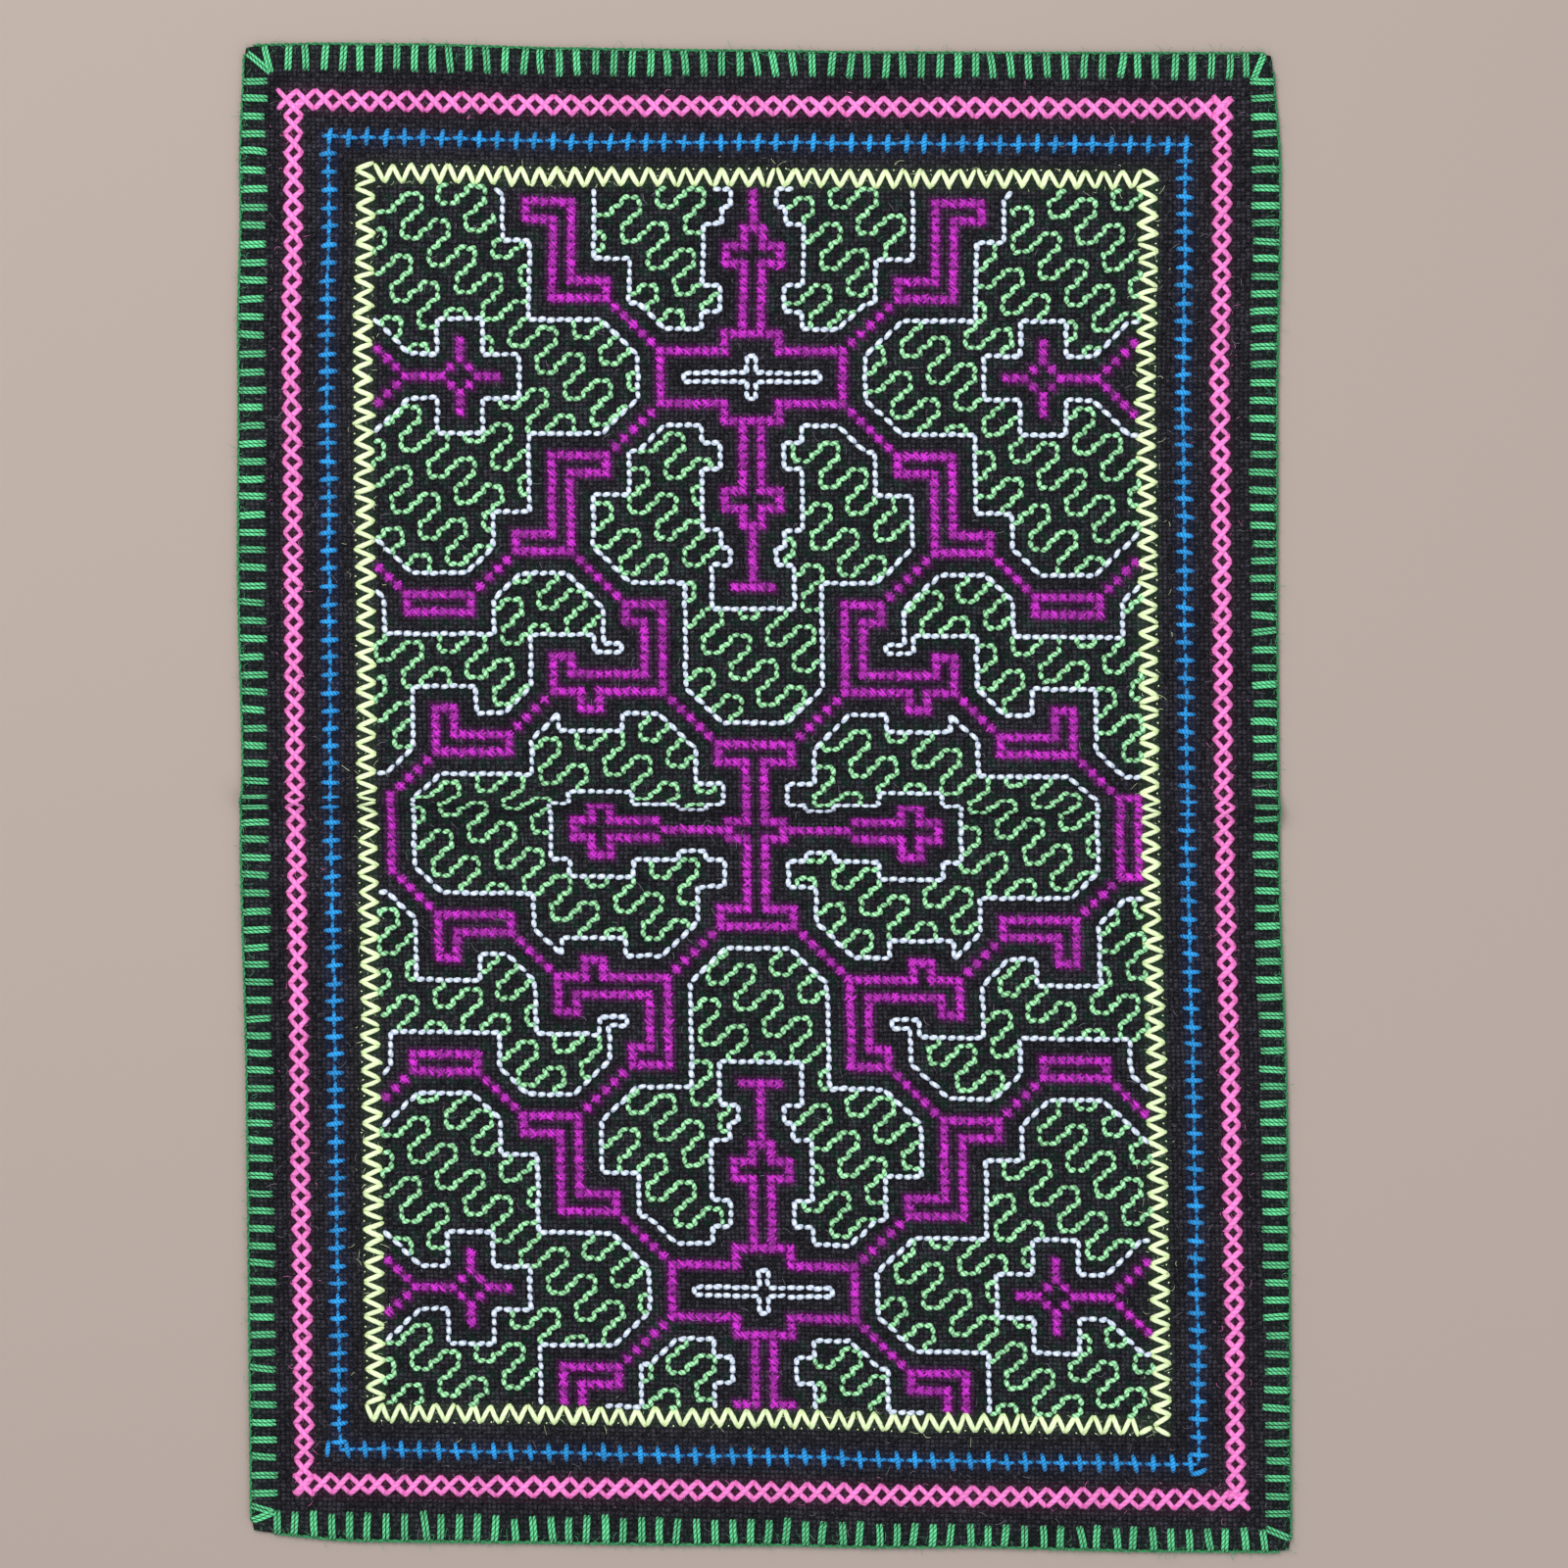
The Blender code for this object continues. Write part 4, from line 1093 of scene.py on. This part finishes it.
def build_panel(purple, filled):
    """The hemmed panel of black evenweave as one closed sheet."""
    columns = grid_lines("left", "right", [])
    crease_start, crease_end = FOLD_ROWS[0][0] - PANEL_LINE_STEP, FOLD_ROWS[-1][0] + 2 * PANEL_LINE_STEP
    rows = grid_lines("top", "bottom", np.arange(crease_start, crease_end, PANEL_LINE_STEP))
    down, across = (grid.ravel() for grid in np.meshgrid(rows, columns, indexing="ij"))
    thickness = cloth_top(across, down)
    inwards = np.minimum.reduce([
        across - RIM["left"], RIM["right"] - across, down - RIM["top"], RIM["bottom"] - down
    ])
    rolled = np.sqrt(np.clip(inwards / HEM_ROLL, 0, 1))
    top = thickness * (0.5 + 0.5 * rolled)
    bottom = thickness * (0.5 - 0.5 * rolled) * 0.9
    chance = np.random.default_rng(5)
    pucker = chance.normal(0, PUCKER, len(across)) * (inwards > PUCKER_FROM)
    points = np.concatenate([lie(across, down, top + pucker), lie(across, down, bottom)])
    count = len(across)
    number = np.arange(count).reshape(len(rows), len(columns))
    squares = [number[:-1, :-1], number[1:, :-1], number[1:, 1:], number[:-1, 1:]]
    upper = np.stack(squares, axis=2).reshape(-1, 4)
    lower = upper[:, ::-1] + count
    rim = np.concatenate([number[0, :-1], number[:-1, -1], number[-1, :0:-1], number[:0:-1, 0]])
    ahead = np.roll(rim, -1)
    wall = np.stack([rim, ahead, ahead + count, rim + count], axis=1)
    counted = np.stack([across, down, np.zeros(count)], axis=1)
    tint = tint_of(across, down, purple, filled)
    attributes = {
        "counted": np.concatenate([counted, counted]),
        "yarn tint": np.concatenate([tint, tint * 0.4]),
    }
    quads = np.concatenate([upper, lower, wall])
    return make_piece("evenweave_panel", points, quads, cloth_material(), attributes)


def spaced(start, end, count):
    """Evenly spaced numbers from start to end."""
    return np.linspace(start, end, count)


def between(places):
    """The places halfway between neighbours."""
    return (places[1:] + places[:-1]) / 2


def on_row(row, side, place, out):
    """The counted place along one side of a row, moved outwards from its middle line."""
    across, down = OUTWARDS[side]
    if down:
        return place, row[side] + down * out
    return row[side] + across * out, place


def build_pink_row(material):
    """Row of wide crosses whose tips share holes."""
    under, over = ([], []), ([], [])
    for side, tips in PINK_TIPS.items():
        places = spaced(*tips)
        reach = PINK_REACH[side]
        for low, high in zip(places - PINK_PAST, places[1:] + PINK_PAST):
            for stitches, sign in ((under, 1), (over, -1)):
                stitches[0].append(on_row(PINK_ROW, side, low, -sign * reach))
                stitches[1].append(on_row(PINK_ROW, side, high, sign * reach))
    yarn = YARNS["pink"]
    part = gathered([
        strands(*under, yarn, 21, rings=8, waver=0.06, plump=0.3),
        strands(*over, yarn, 22, rings=8, waver=0.06, over=yarn["half_height"] * 1.3, plump=0.3),
    ])
    return yarn_piece("pink_crosses", part, material)


def build_blue_row(material):
    """Row of upright crosses: a stitch along the row under a stitch across it."""
    along, across = ([], []), ([], [])
    for side, crosses in BLUE_CROSSES.items():
        places = spaced(*crosses)
        half = (places[1] - places[0]) / 2
        reach, lean = BLUE_REACH[side], BLUE_LEAN[side]
        for place in places if side in ("top", "bottom") else places[1:]:
            along[0].append(on_row(BLUE_ROW, side, place - half, 0))
            along[1].append(on_row(BLUE_ROW, side, place + half, 0))
            across[0].append(on_row(BLUE_ROW, side, place + lean, reach))
            across[1].append(on_row(BLUE_ROW, side, place - lean, -reach))
    for tick in BLUE_TICKS:
        across[0].append(tick[0])
        across[1].append(tick[1])
    yarn = YARNS["blue"]
    part = gathered([
        strands(*along, {**yarn, "half_width": BLUE_ALONG_HALF_WIDTH}, 31, rings=7, waver=0.05),
        strands(*across, yarn, 32, rings=7, waver=0.07, over=yarn["half_height"] * 1.4),
    ])
    return yarn_piece("blue_crosses", part, material, sides=7)


def build_yellow_row(material):
    """Zigzag of slanted stitches round the field."""
    tips = []
    for side in ("top", "right", "bottom", "left"):
        outer = spaced(*YELLOW_TIPS[side])
        if side in ("bottom", "left"):
            outer = outer[::-1]
        for here, there in zip(outer, outer[1:]):
            tips.append(on_row(YELLOW_ROW, side, here, YELLOW_REACH))
            tips.append(on_row(YELLOW_ROW, side, (here + there) / 2, -YELLOW_REACH))
        tips.append(on_row(YELLOW_ROW, side, outer[-1], YELLOW_REACH))
        if side == "right":
            tips.append(YELLOW_TURN)
    starts, ends = tips + [YELLOW_TURN], tips[1:] + tips[:1] + [YELLOW_TAIL]
    yarn = YARNS["yellow"]
    part = strands(starts, ends, yarn, 41, rings=7, waver=0.08)
    return yarn_piece("yellow_zigzag", part, material)


def build_purple(name, squares, material, seed):
    """Cross stitches in loosely doubled thread, one to each counted square."""
    half = PURPLE_REACH
    yarn = YARNS["purple"]
    parts = []
    for number, (lift, slant) in enumerate(((0.0, 1), (yarn["half_height"] * 2.0, -1))):
        starts = [(x - half, y + slant * half) for x, y in squares]
        ends = [(x + half, y - slant * half) for x, y in squares]
        for twin, offset in enumerate((-PURPLE_TWIN, PURPLE_TWIN)):
            seeded = seed + 10 * number + twin
            part = strands(starts, ends, yarn, seeded, rings=5, waver=0.06, bow=0.06, over=lift, plump=0.45)
            parts.append(beside(part, offset))
    return yarn_piece(name, gathered(parts), material, sides=5)


def build_outlines(steps, material):
    """Plump backstitches along the charted outlines, each leaning a little."""
    chance = np.random.default_rng(61)
    starts, ends = np.array([s[0] for s in steps]), np.array([s[1] for s in steps])
    way = ends - starts
    size = np.linalg.norm(way, axis=1, keepdims=True)
    sideways = np.stack([-way[:, 1], way[:, 0]], axis=1) / size
    lean = (0.09 + chance.normal(0, 0.03, len(steps)))[:, None]
    starts = starts + sideways * lean
    ends = ends - sideways * lean
    part = strands(starts, ends, YARNS["outline"], 62, rings=7, waver=0.04, bow=0.03, plump=0.7)
    return yarn_piece("pale_outlines", part, material, sides=6)


def build_fill(steps, material):
    """The green winding filling in single backstitches."""
    chance = np.random.default_rng(71)
    starts, ends = np.array([s[0] for s in steps]), np.array([s[1] for s in steps])
    way = ends - starts
    sideways = np.stack([-way[:, 1], way[:, 0]], axis=1)
    lean = (0.13 + chance.normal(0, 0.04, len(steps)))[:, None]
    starts = starts + sideways * lean
    ends = ends - sideways * lean
    part = strands(starts, ends, YARNS["fill"], 72, rings=6, waver=0.05, bow=0.04, plump=0.6)
    return yarn_piece("green_filling", part, material, sides=5)


def edge_spokes():
    """The blanket stitches' starts on the rim and their inner ends."""
    chance = np.random.default_rng(81)
    starts, ends = [], []
    for side, spokes in EDGE_SPOKES.items():
        for place in spaced(*spokes):
            slant = chance.normal(0, SPOKE_SLANT[side])
            length = SPOKE_LENGTH[side] + chance.normal(0, SPOKE_SPREAD)
            if side == "bottom":
                length -= BOTTOM_SHORTENING * (place - RIM["left"]) / (RIM["right"] - RIM["left"])
            starts.append(on_row(RIM, side, place + slant, 0))
            ends.append(on_row(RIM, side, place, -length))
    for side, end, start_in, end_in in CORNER_SPOKES:
        inward_x, inward_y = -OUTWARDS[side][0], -OUTWARDS[end][1]
        starts.append((RIM[side] + inward_x * start_in[0], RIM[end] + inward_y * start_in[1]))
        ends.append((RIM[side] + inward_x * end_in[0], RIM[end] + inward_y * end_in[1]))
    return starts, ends


def build_edging(material):
    """Green blanket stitch: doubled spokes over the hem."""
    starts, ends = edge_spokes()
    yarn = YARNS["edge"]
    part = strands(starts, ends, yarn, 82, rings=9, waver=0.02, bow=0.04, plump=0.22)
    part = gathered([beside(part, -EDGE_TWIN), beside(part, EDGE_TWIN)])
    return yarn_piece("green_spokes", part, material, sides=7)


def build_edge_cord(material):
    """The twisted cord that the blanket stitches make along each side of the rim, with bare corners."""
    chance = np.random.default_rng(91)
    yarn = YARNS["cord"]
    rings, radius = CORD["rings"], CORD["radius"]
    parts = []
    for side, (first, last) in CORD_ENDS.items():
        places = [on_row(RIM, side, place, CORD["out"]) for place in spaced(first, last, rings)]
        flat = np.array(places) * np.array([STITCH_ACROSS, -STITCH_DOWN])
        way = (flat[-1] - flat[0]) / np.linalg.norm(flat[-1] - flat[0])
        sideways = np.array([-way[1], way[0]])
        turns = np.linalg.norm(flat[-1] - flat[0]) / CORD["turn"]
        wind = math.tau * turns * np.linspace(0, 1, rings) + np.cumsum(chance.normal(0, 0.12, rings))
        for phase in (0.0, math.pi):
            centres = np.zeros((1, rings, 3))
            centres[0, :, :2] = flat + sideways * (np.cos(wind + phase) * radius)[:, None]
            centres[0, :, 2] = np.sin(wind + phase) * radius
            size = 1 + chance.normal(0, 0.10, rings)
            parts.append({
                "centres": centres,
                "widths": (yarn["half_width"] * size)[None, :],
                "heights": (yarn["half_height"] * size)[None, :],
                "middle": np.ones((1, rings)),
                "luck": np.full((1, rings), chance.random()),
                "ground": np.full((1, rings), CORD["ground"]),
            })
    return yarn_piece("green_edge_cord", gathered(parts), material, sides=6)


def build_needle_marks(name, row, places, lines, material, seed):
    """Flecks of yarn in the holes of a row: the share of the holes is given for its outer and inner line."""
    chance = np.random.default_rng(seed)
    marks = []
    for side, holes in places.items():
        for out, share in lines:
            spots = [on_row(row, side, place, out * MARK_REACH) for place in holes]
            marks += [spot for spot in spots if chance.random() < share]
    marks = np.array(marks) + chance.normal(0, MARK_SCATTER, (len(marks), 2))
    turn = chance.random(len(marks)) * math.pi
    half = np.stack([np.cos(turn), np.sin(turn)], axis=1) * MARK_HALF_LENGTH
    part = strands(marks - half, marks + half, YARNS["fleck"], seed + 1, rings=4, waver=0.0, bow=0.0)
    return yarn_piece(name, part, material, sides=5)


def build_fibres(name, roots, reach, lift, material, seed):
    """Fine loose fibres that curl over the cloth from their roots, given as counted places."""
    chance = np.random.default_rng(seed)
    roots = np.asarray(roots, float)
    count, rings = len(roots), 6
    heading = chance.random(count) * math.tau
    bend = chance.normal(0, FIBRE_BEND, count)
    length = reach * (FIBRE_LEAST + chance.random(count) ** 2)
    share = np.linspace(0, 1, rings)
    turn = heading[:, None] + bend[:, None] * share[None, :]
    step = length[:, None] / (rings - 1)
    centres = np.zeros((count, rings, 3))
    scale = np.array([STITCH_ACROSS, -STITCH_DOWN])
    centres[:, :, 0] = roots[:, :1] * scale[0] + np.cumsum(np.cos(turn) * step, axis=1)
    centres[:, :, 1] = roots[:, 1:] * scale[1] + np.cumsum(np.sin(turn) * step, axis=1)
    centres[:, :, 2] = LOWEST_YARN + lift * chance.random(count)[:, None] * np.sin(math.pi * share)[None, :]
    size = 0.7 + 0.6 * chance.random(count)[:, None]
    part = {
        "centres": centres,
        "widths": np.broadcast_to(YARNS["lint"]["half_width"] * size, (count, rings)),
        "heights": np.broadcast_to(YARNS["lint"]["half_height"] * size, (count, rings)),
        "middle": np.ones((count, rings)),
        "luck": np.broadcast_to(chance.random(count)[:, None], (count, rings)),
    }
    return yarn_piece(name, part, material, sides=3)


def roots_by_row(row, count, reach, seed, furthest=9.0):
    """Counted places scattered close to a row of yarn, at most so far outside it."""
    chance = np.random.default_rng(seed)
    wide, high = row["right"] - row["left"], row["bottom"] - row["top"]
    along = chance.random(count) * 2 * (wide + high)
    off = np.minimum(chance.normal(0, reach, count), furthest)
    places = []
    for distance, away in zip(along, off):
        if distance < wide:
            places.append((row["left"] + distance, row["top"] - away))
        elif distance < wide + high:
            places.append((row["right"] + away, row["top"] + distance - wide))
        elif distance < 2 * wide + high:
            places.append((row["left"] + distance - wide - high, row["bottom"] + away))
        else:
            places.append((row["left"] - away, row["top"] + distance - 2 * wide - high))
    return places


def scattered(count, seed):
    """Counted places scattered over the whole cloth."""
    chance = np.random.default_rng(seed)
    across = RIM["left"] + 1 + chance.random(count) * (RIM["right"] - RIM["left"] - 2)
    down = RIM["top"] + 1 + chance.random(count) * (RIM["bottom"] - RIM["top"] - 2)
    return np.stack([across, down], axis=1)


def build_floor():
    """A plain pale floor."""
    material, tree, shader = start_material("pale floor")
    shader.inputs["Base Color"].default_value = FLOOR["colour"]
    shader.inputs["Roughness"].default_value = 0.9
    mesh = bpy.data.meshes.new("floor")
    half, level = FLOOR["half"], FLOOR["level"]
    mesh.from_pydata(
        [(-half, -half, level), (half, -half, level), (half, half, level), (-half, half, level)],
        [],
        [(0, 1, 2, 3)],
    )
    mesh.materials.append(material)
    floor = bpy.data.objects.new("floor", mesh)
    bpy.context.scene.collection.objects.link(floor)


def add_area_light(name, place, size, power, colour):
    """A soft square light aimed at the middle of the cloth."""
    light = bpy.data.lights.new(name, "AREA")
    light.shape = "SQUARE"
    light.size = size
    light.energy = power
    light.color = colour
    lamp = bpy.data.objects.new(name, light)
    lamp.location = place
    lamp.rotation_euler = (-Vector(place)).to_track_quat("-Z", "Y").to_euler()
    bpy.context.scene.collection.objects.link(lamp)


def add_camera():
    """A camera straight above, framed as the photo is."""
    data = bpy.data.cameras.new("camera")
    data.lens = LENS
    data.sensor_width = SENSOR_WIDTH
    data.clip_end = 20.0
    camera = bpy.data.objects.new("camera", data)
    middle = lie(np.array([0.0]), np.array([MIDDLE_ROW]), np.array([0.0]))[0]
    x = middle[0] + (FRAME_PIXELS / 2 - MIDDLE_PIXEL[0]) * PIXEL_SIZE
    y = middle[1] + (MIDDLE_PIXEL[1] - FRAME_PIXELS / 2) * PIXEL_SIZE
    height = FRAME_PIXELS * PIXEL_SIZE * data.lens / data.sensor_width
    camera.location = (x, y, height + CLOTH_THICKNESS)
    bpy.context.scene.collection.objects.link(camera)
    bpy.context.scene.camera = camera


def light_the_studio():
    """One wide overhead softbox, a low fill and an even pale surround."""
    for name, light in LIGHTS.items():
        add_area_light(name, **light)
    world = bpy.data.worlds.new("studio")
    world.use_nodes = True
    bpy.context.scene.view_settings.view_transform = "Standard"
    background = world.node_tree.nodes["Background"]
    background.inputs["Color"].default_value = SURROUND["colour"]
    background.inputs["Strength"].default_value = SURROUND["strength"]
    bpy.context.scene.world = world


add_camera()
light_the_studio()
build_floor()

lattice = charted_squares(PURPLE_CHART, TURNS)
crosses = {
    (side, start): charted_squares(CROSS_CHART, [(side, start, 1), (side, start, -1)])
    for start in (0, REPEAT_ROW) for side in (-1, 1)
}
all_purple = {(round(x), round(y)) for squares in (lattice, *crosses.values()) for x, y in squares}
steps = outline_steps()
winding = fill_steps(steps)
filled = {
    (round(x + across), round(y + down))
    for (x, y), end in winding for across in (-1, 0, 1) for down in (-1, 0, 1)
} - all_purple

panel = build_panel(all_purple, filled)
purple_thread = yarn_material(
    "purple thread", "purple", variation=0.95, sheen=0.15, roughness=0.5, relief=0.00008
)
upper = [square for square in lattice if square[1] <= MIDDLE_ROW]
lower = [square for square in lattice if square[1] > MIDDLE_ROW]
upper_lattice = build_purple("purple_crosses_upper", upper, purple_thread, 151)
lower_lattice = build_purple("purple_crosses_lower", lower, purple_thread, 251)
cross_pieces = []
for number, squares in enumerate(crosses.values()):
    name = f"purple_motif_{number + 1}"
    cross_pieces.append(build_purple(name, squares, purple_thread, 351 + 30 * number))
pink_yarn = yarn_material("pink yarn", "pink", variation=0.22, groove_shade=0.32, relief=0.00014)
yellow_yarn = yarn_material("yellow yarn", "yellow", variation=0.15, groove_shade=0.28, relief=0.00014)
pink = build_pink_row(pink_yarn)
blue = build_blue_row(yarn_material("blue yarn", "blue", variation=0.4, groove_shade=0.7))
yellow = build_yellow_row(yellow_yarn)
pale_yarn = yarn_material("pale blue yarn", "outline", variation=0.12, groove_shade=0.45, relief=0.00012)
outlines = build_outlines(steps, pale_yarn)
filling = build_fill(winding, yarn_material("filling thread", "fill", variation=0.4, relief=0.00018))
edge_yarn = yarn_material("green edge yarn", "edge", variation=0.4, groove_shade=0.9, relief=0.0003)
spokes = build_edging(edge_yarn)
cord = build_edge_cord(yarn_material("green edge cord", "cord", variation=0.5, relief=0.00015))
pink_holes = {side: spaced(*tips) for side, tips in PINK_TIPS.items()}
yellow_holes = {side: between(spaced(*tips)) for side, tips in YELLOW_TIPS.items()}
pink_lines, yellow_lines = ((1, 0.75), (-1, 0.8)), ((1, 0.9), (-1, 0.15))
pink_marks = build_needle_marks("pink_flecks", PINK_ROW, pink_holes, pink_lines, pink_yarn, 101)
yellow_marks = build_needle_marks("yellow_flecks", YELLOW_ROW, yellow_holes, yellow_lines, yellow_yarn, 103)
edge_roots = roots_by_row(RIM, 1500, 0.5, 111, furthest=0.0)
edge_fibres = build_fibres("green_fibres", edge_roots, 0.0024, 0.0006, edge_yarn, 112)
pink_roots = roots_by_row(PINK_ROW, 420, 1.0, 113)
pink_fibres = build_fibres("pink_fibres", pink_roots, 0.0022, 0.0008, pink_yarn, 114)
yellow_roots = roots_by_row(YELLOW_ROW, 420, 1.0, 115)
yellow_fibres = build_fibres("yellow_fibres", yellow_roots, 0.0026, 0.0008, yellow_yarn, 116)
lint = build_fibres("lint", scattered(900, 117), 0.0030, 0.0010, yarn_material("lint", "lint"), 118)

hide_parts("cloth")
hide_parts("purple_lattice")
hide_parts("purple_lattice")
for number, piece in enumerate(cross_pieces):
    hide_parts(f"purple_cross_{number + 1}")
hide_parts("pink_row")
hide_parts("blue_row")
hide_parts("yellow_row")
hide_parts("edge_stitching")
worked = {
    "purple_yarn": [upper_lattice, lower_lattice, *cross_pieces],
    "pink_yarn": [pink, pink_marks, pink_fibres],
    "blue_yarn": [blue],
    "yellow_yarn": [yellow, yellow_marks, yellow_fibres],
    "pale_blue_yarn": [outlines],
    "fill_yarn": [filling],
    "green_yarn": [spokes, cord, edge_fibres],
    "black_cloth": [lint],
}
on_cloth = [piece for pieces in worked.values() for piece in pieces]
for piece in (panel, *on_cloth):
    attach(piece, "root")
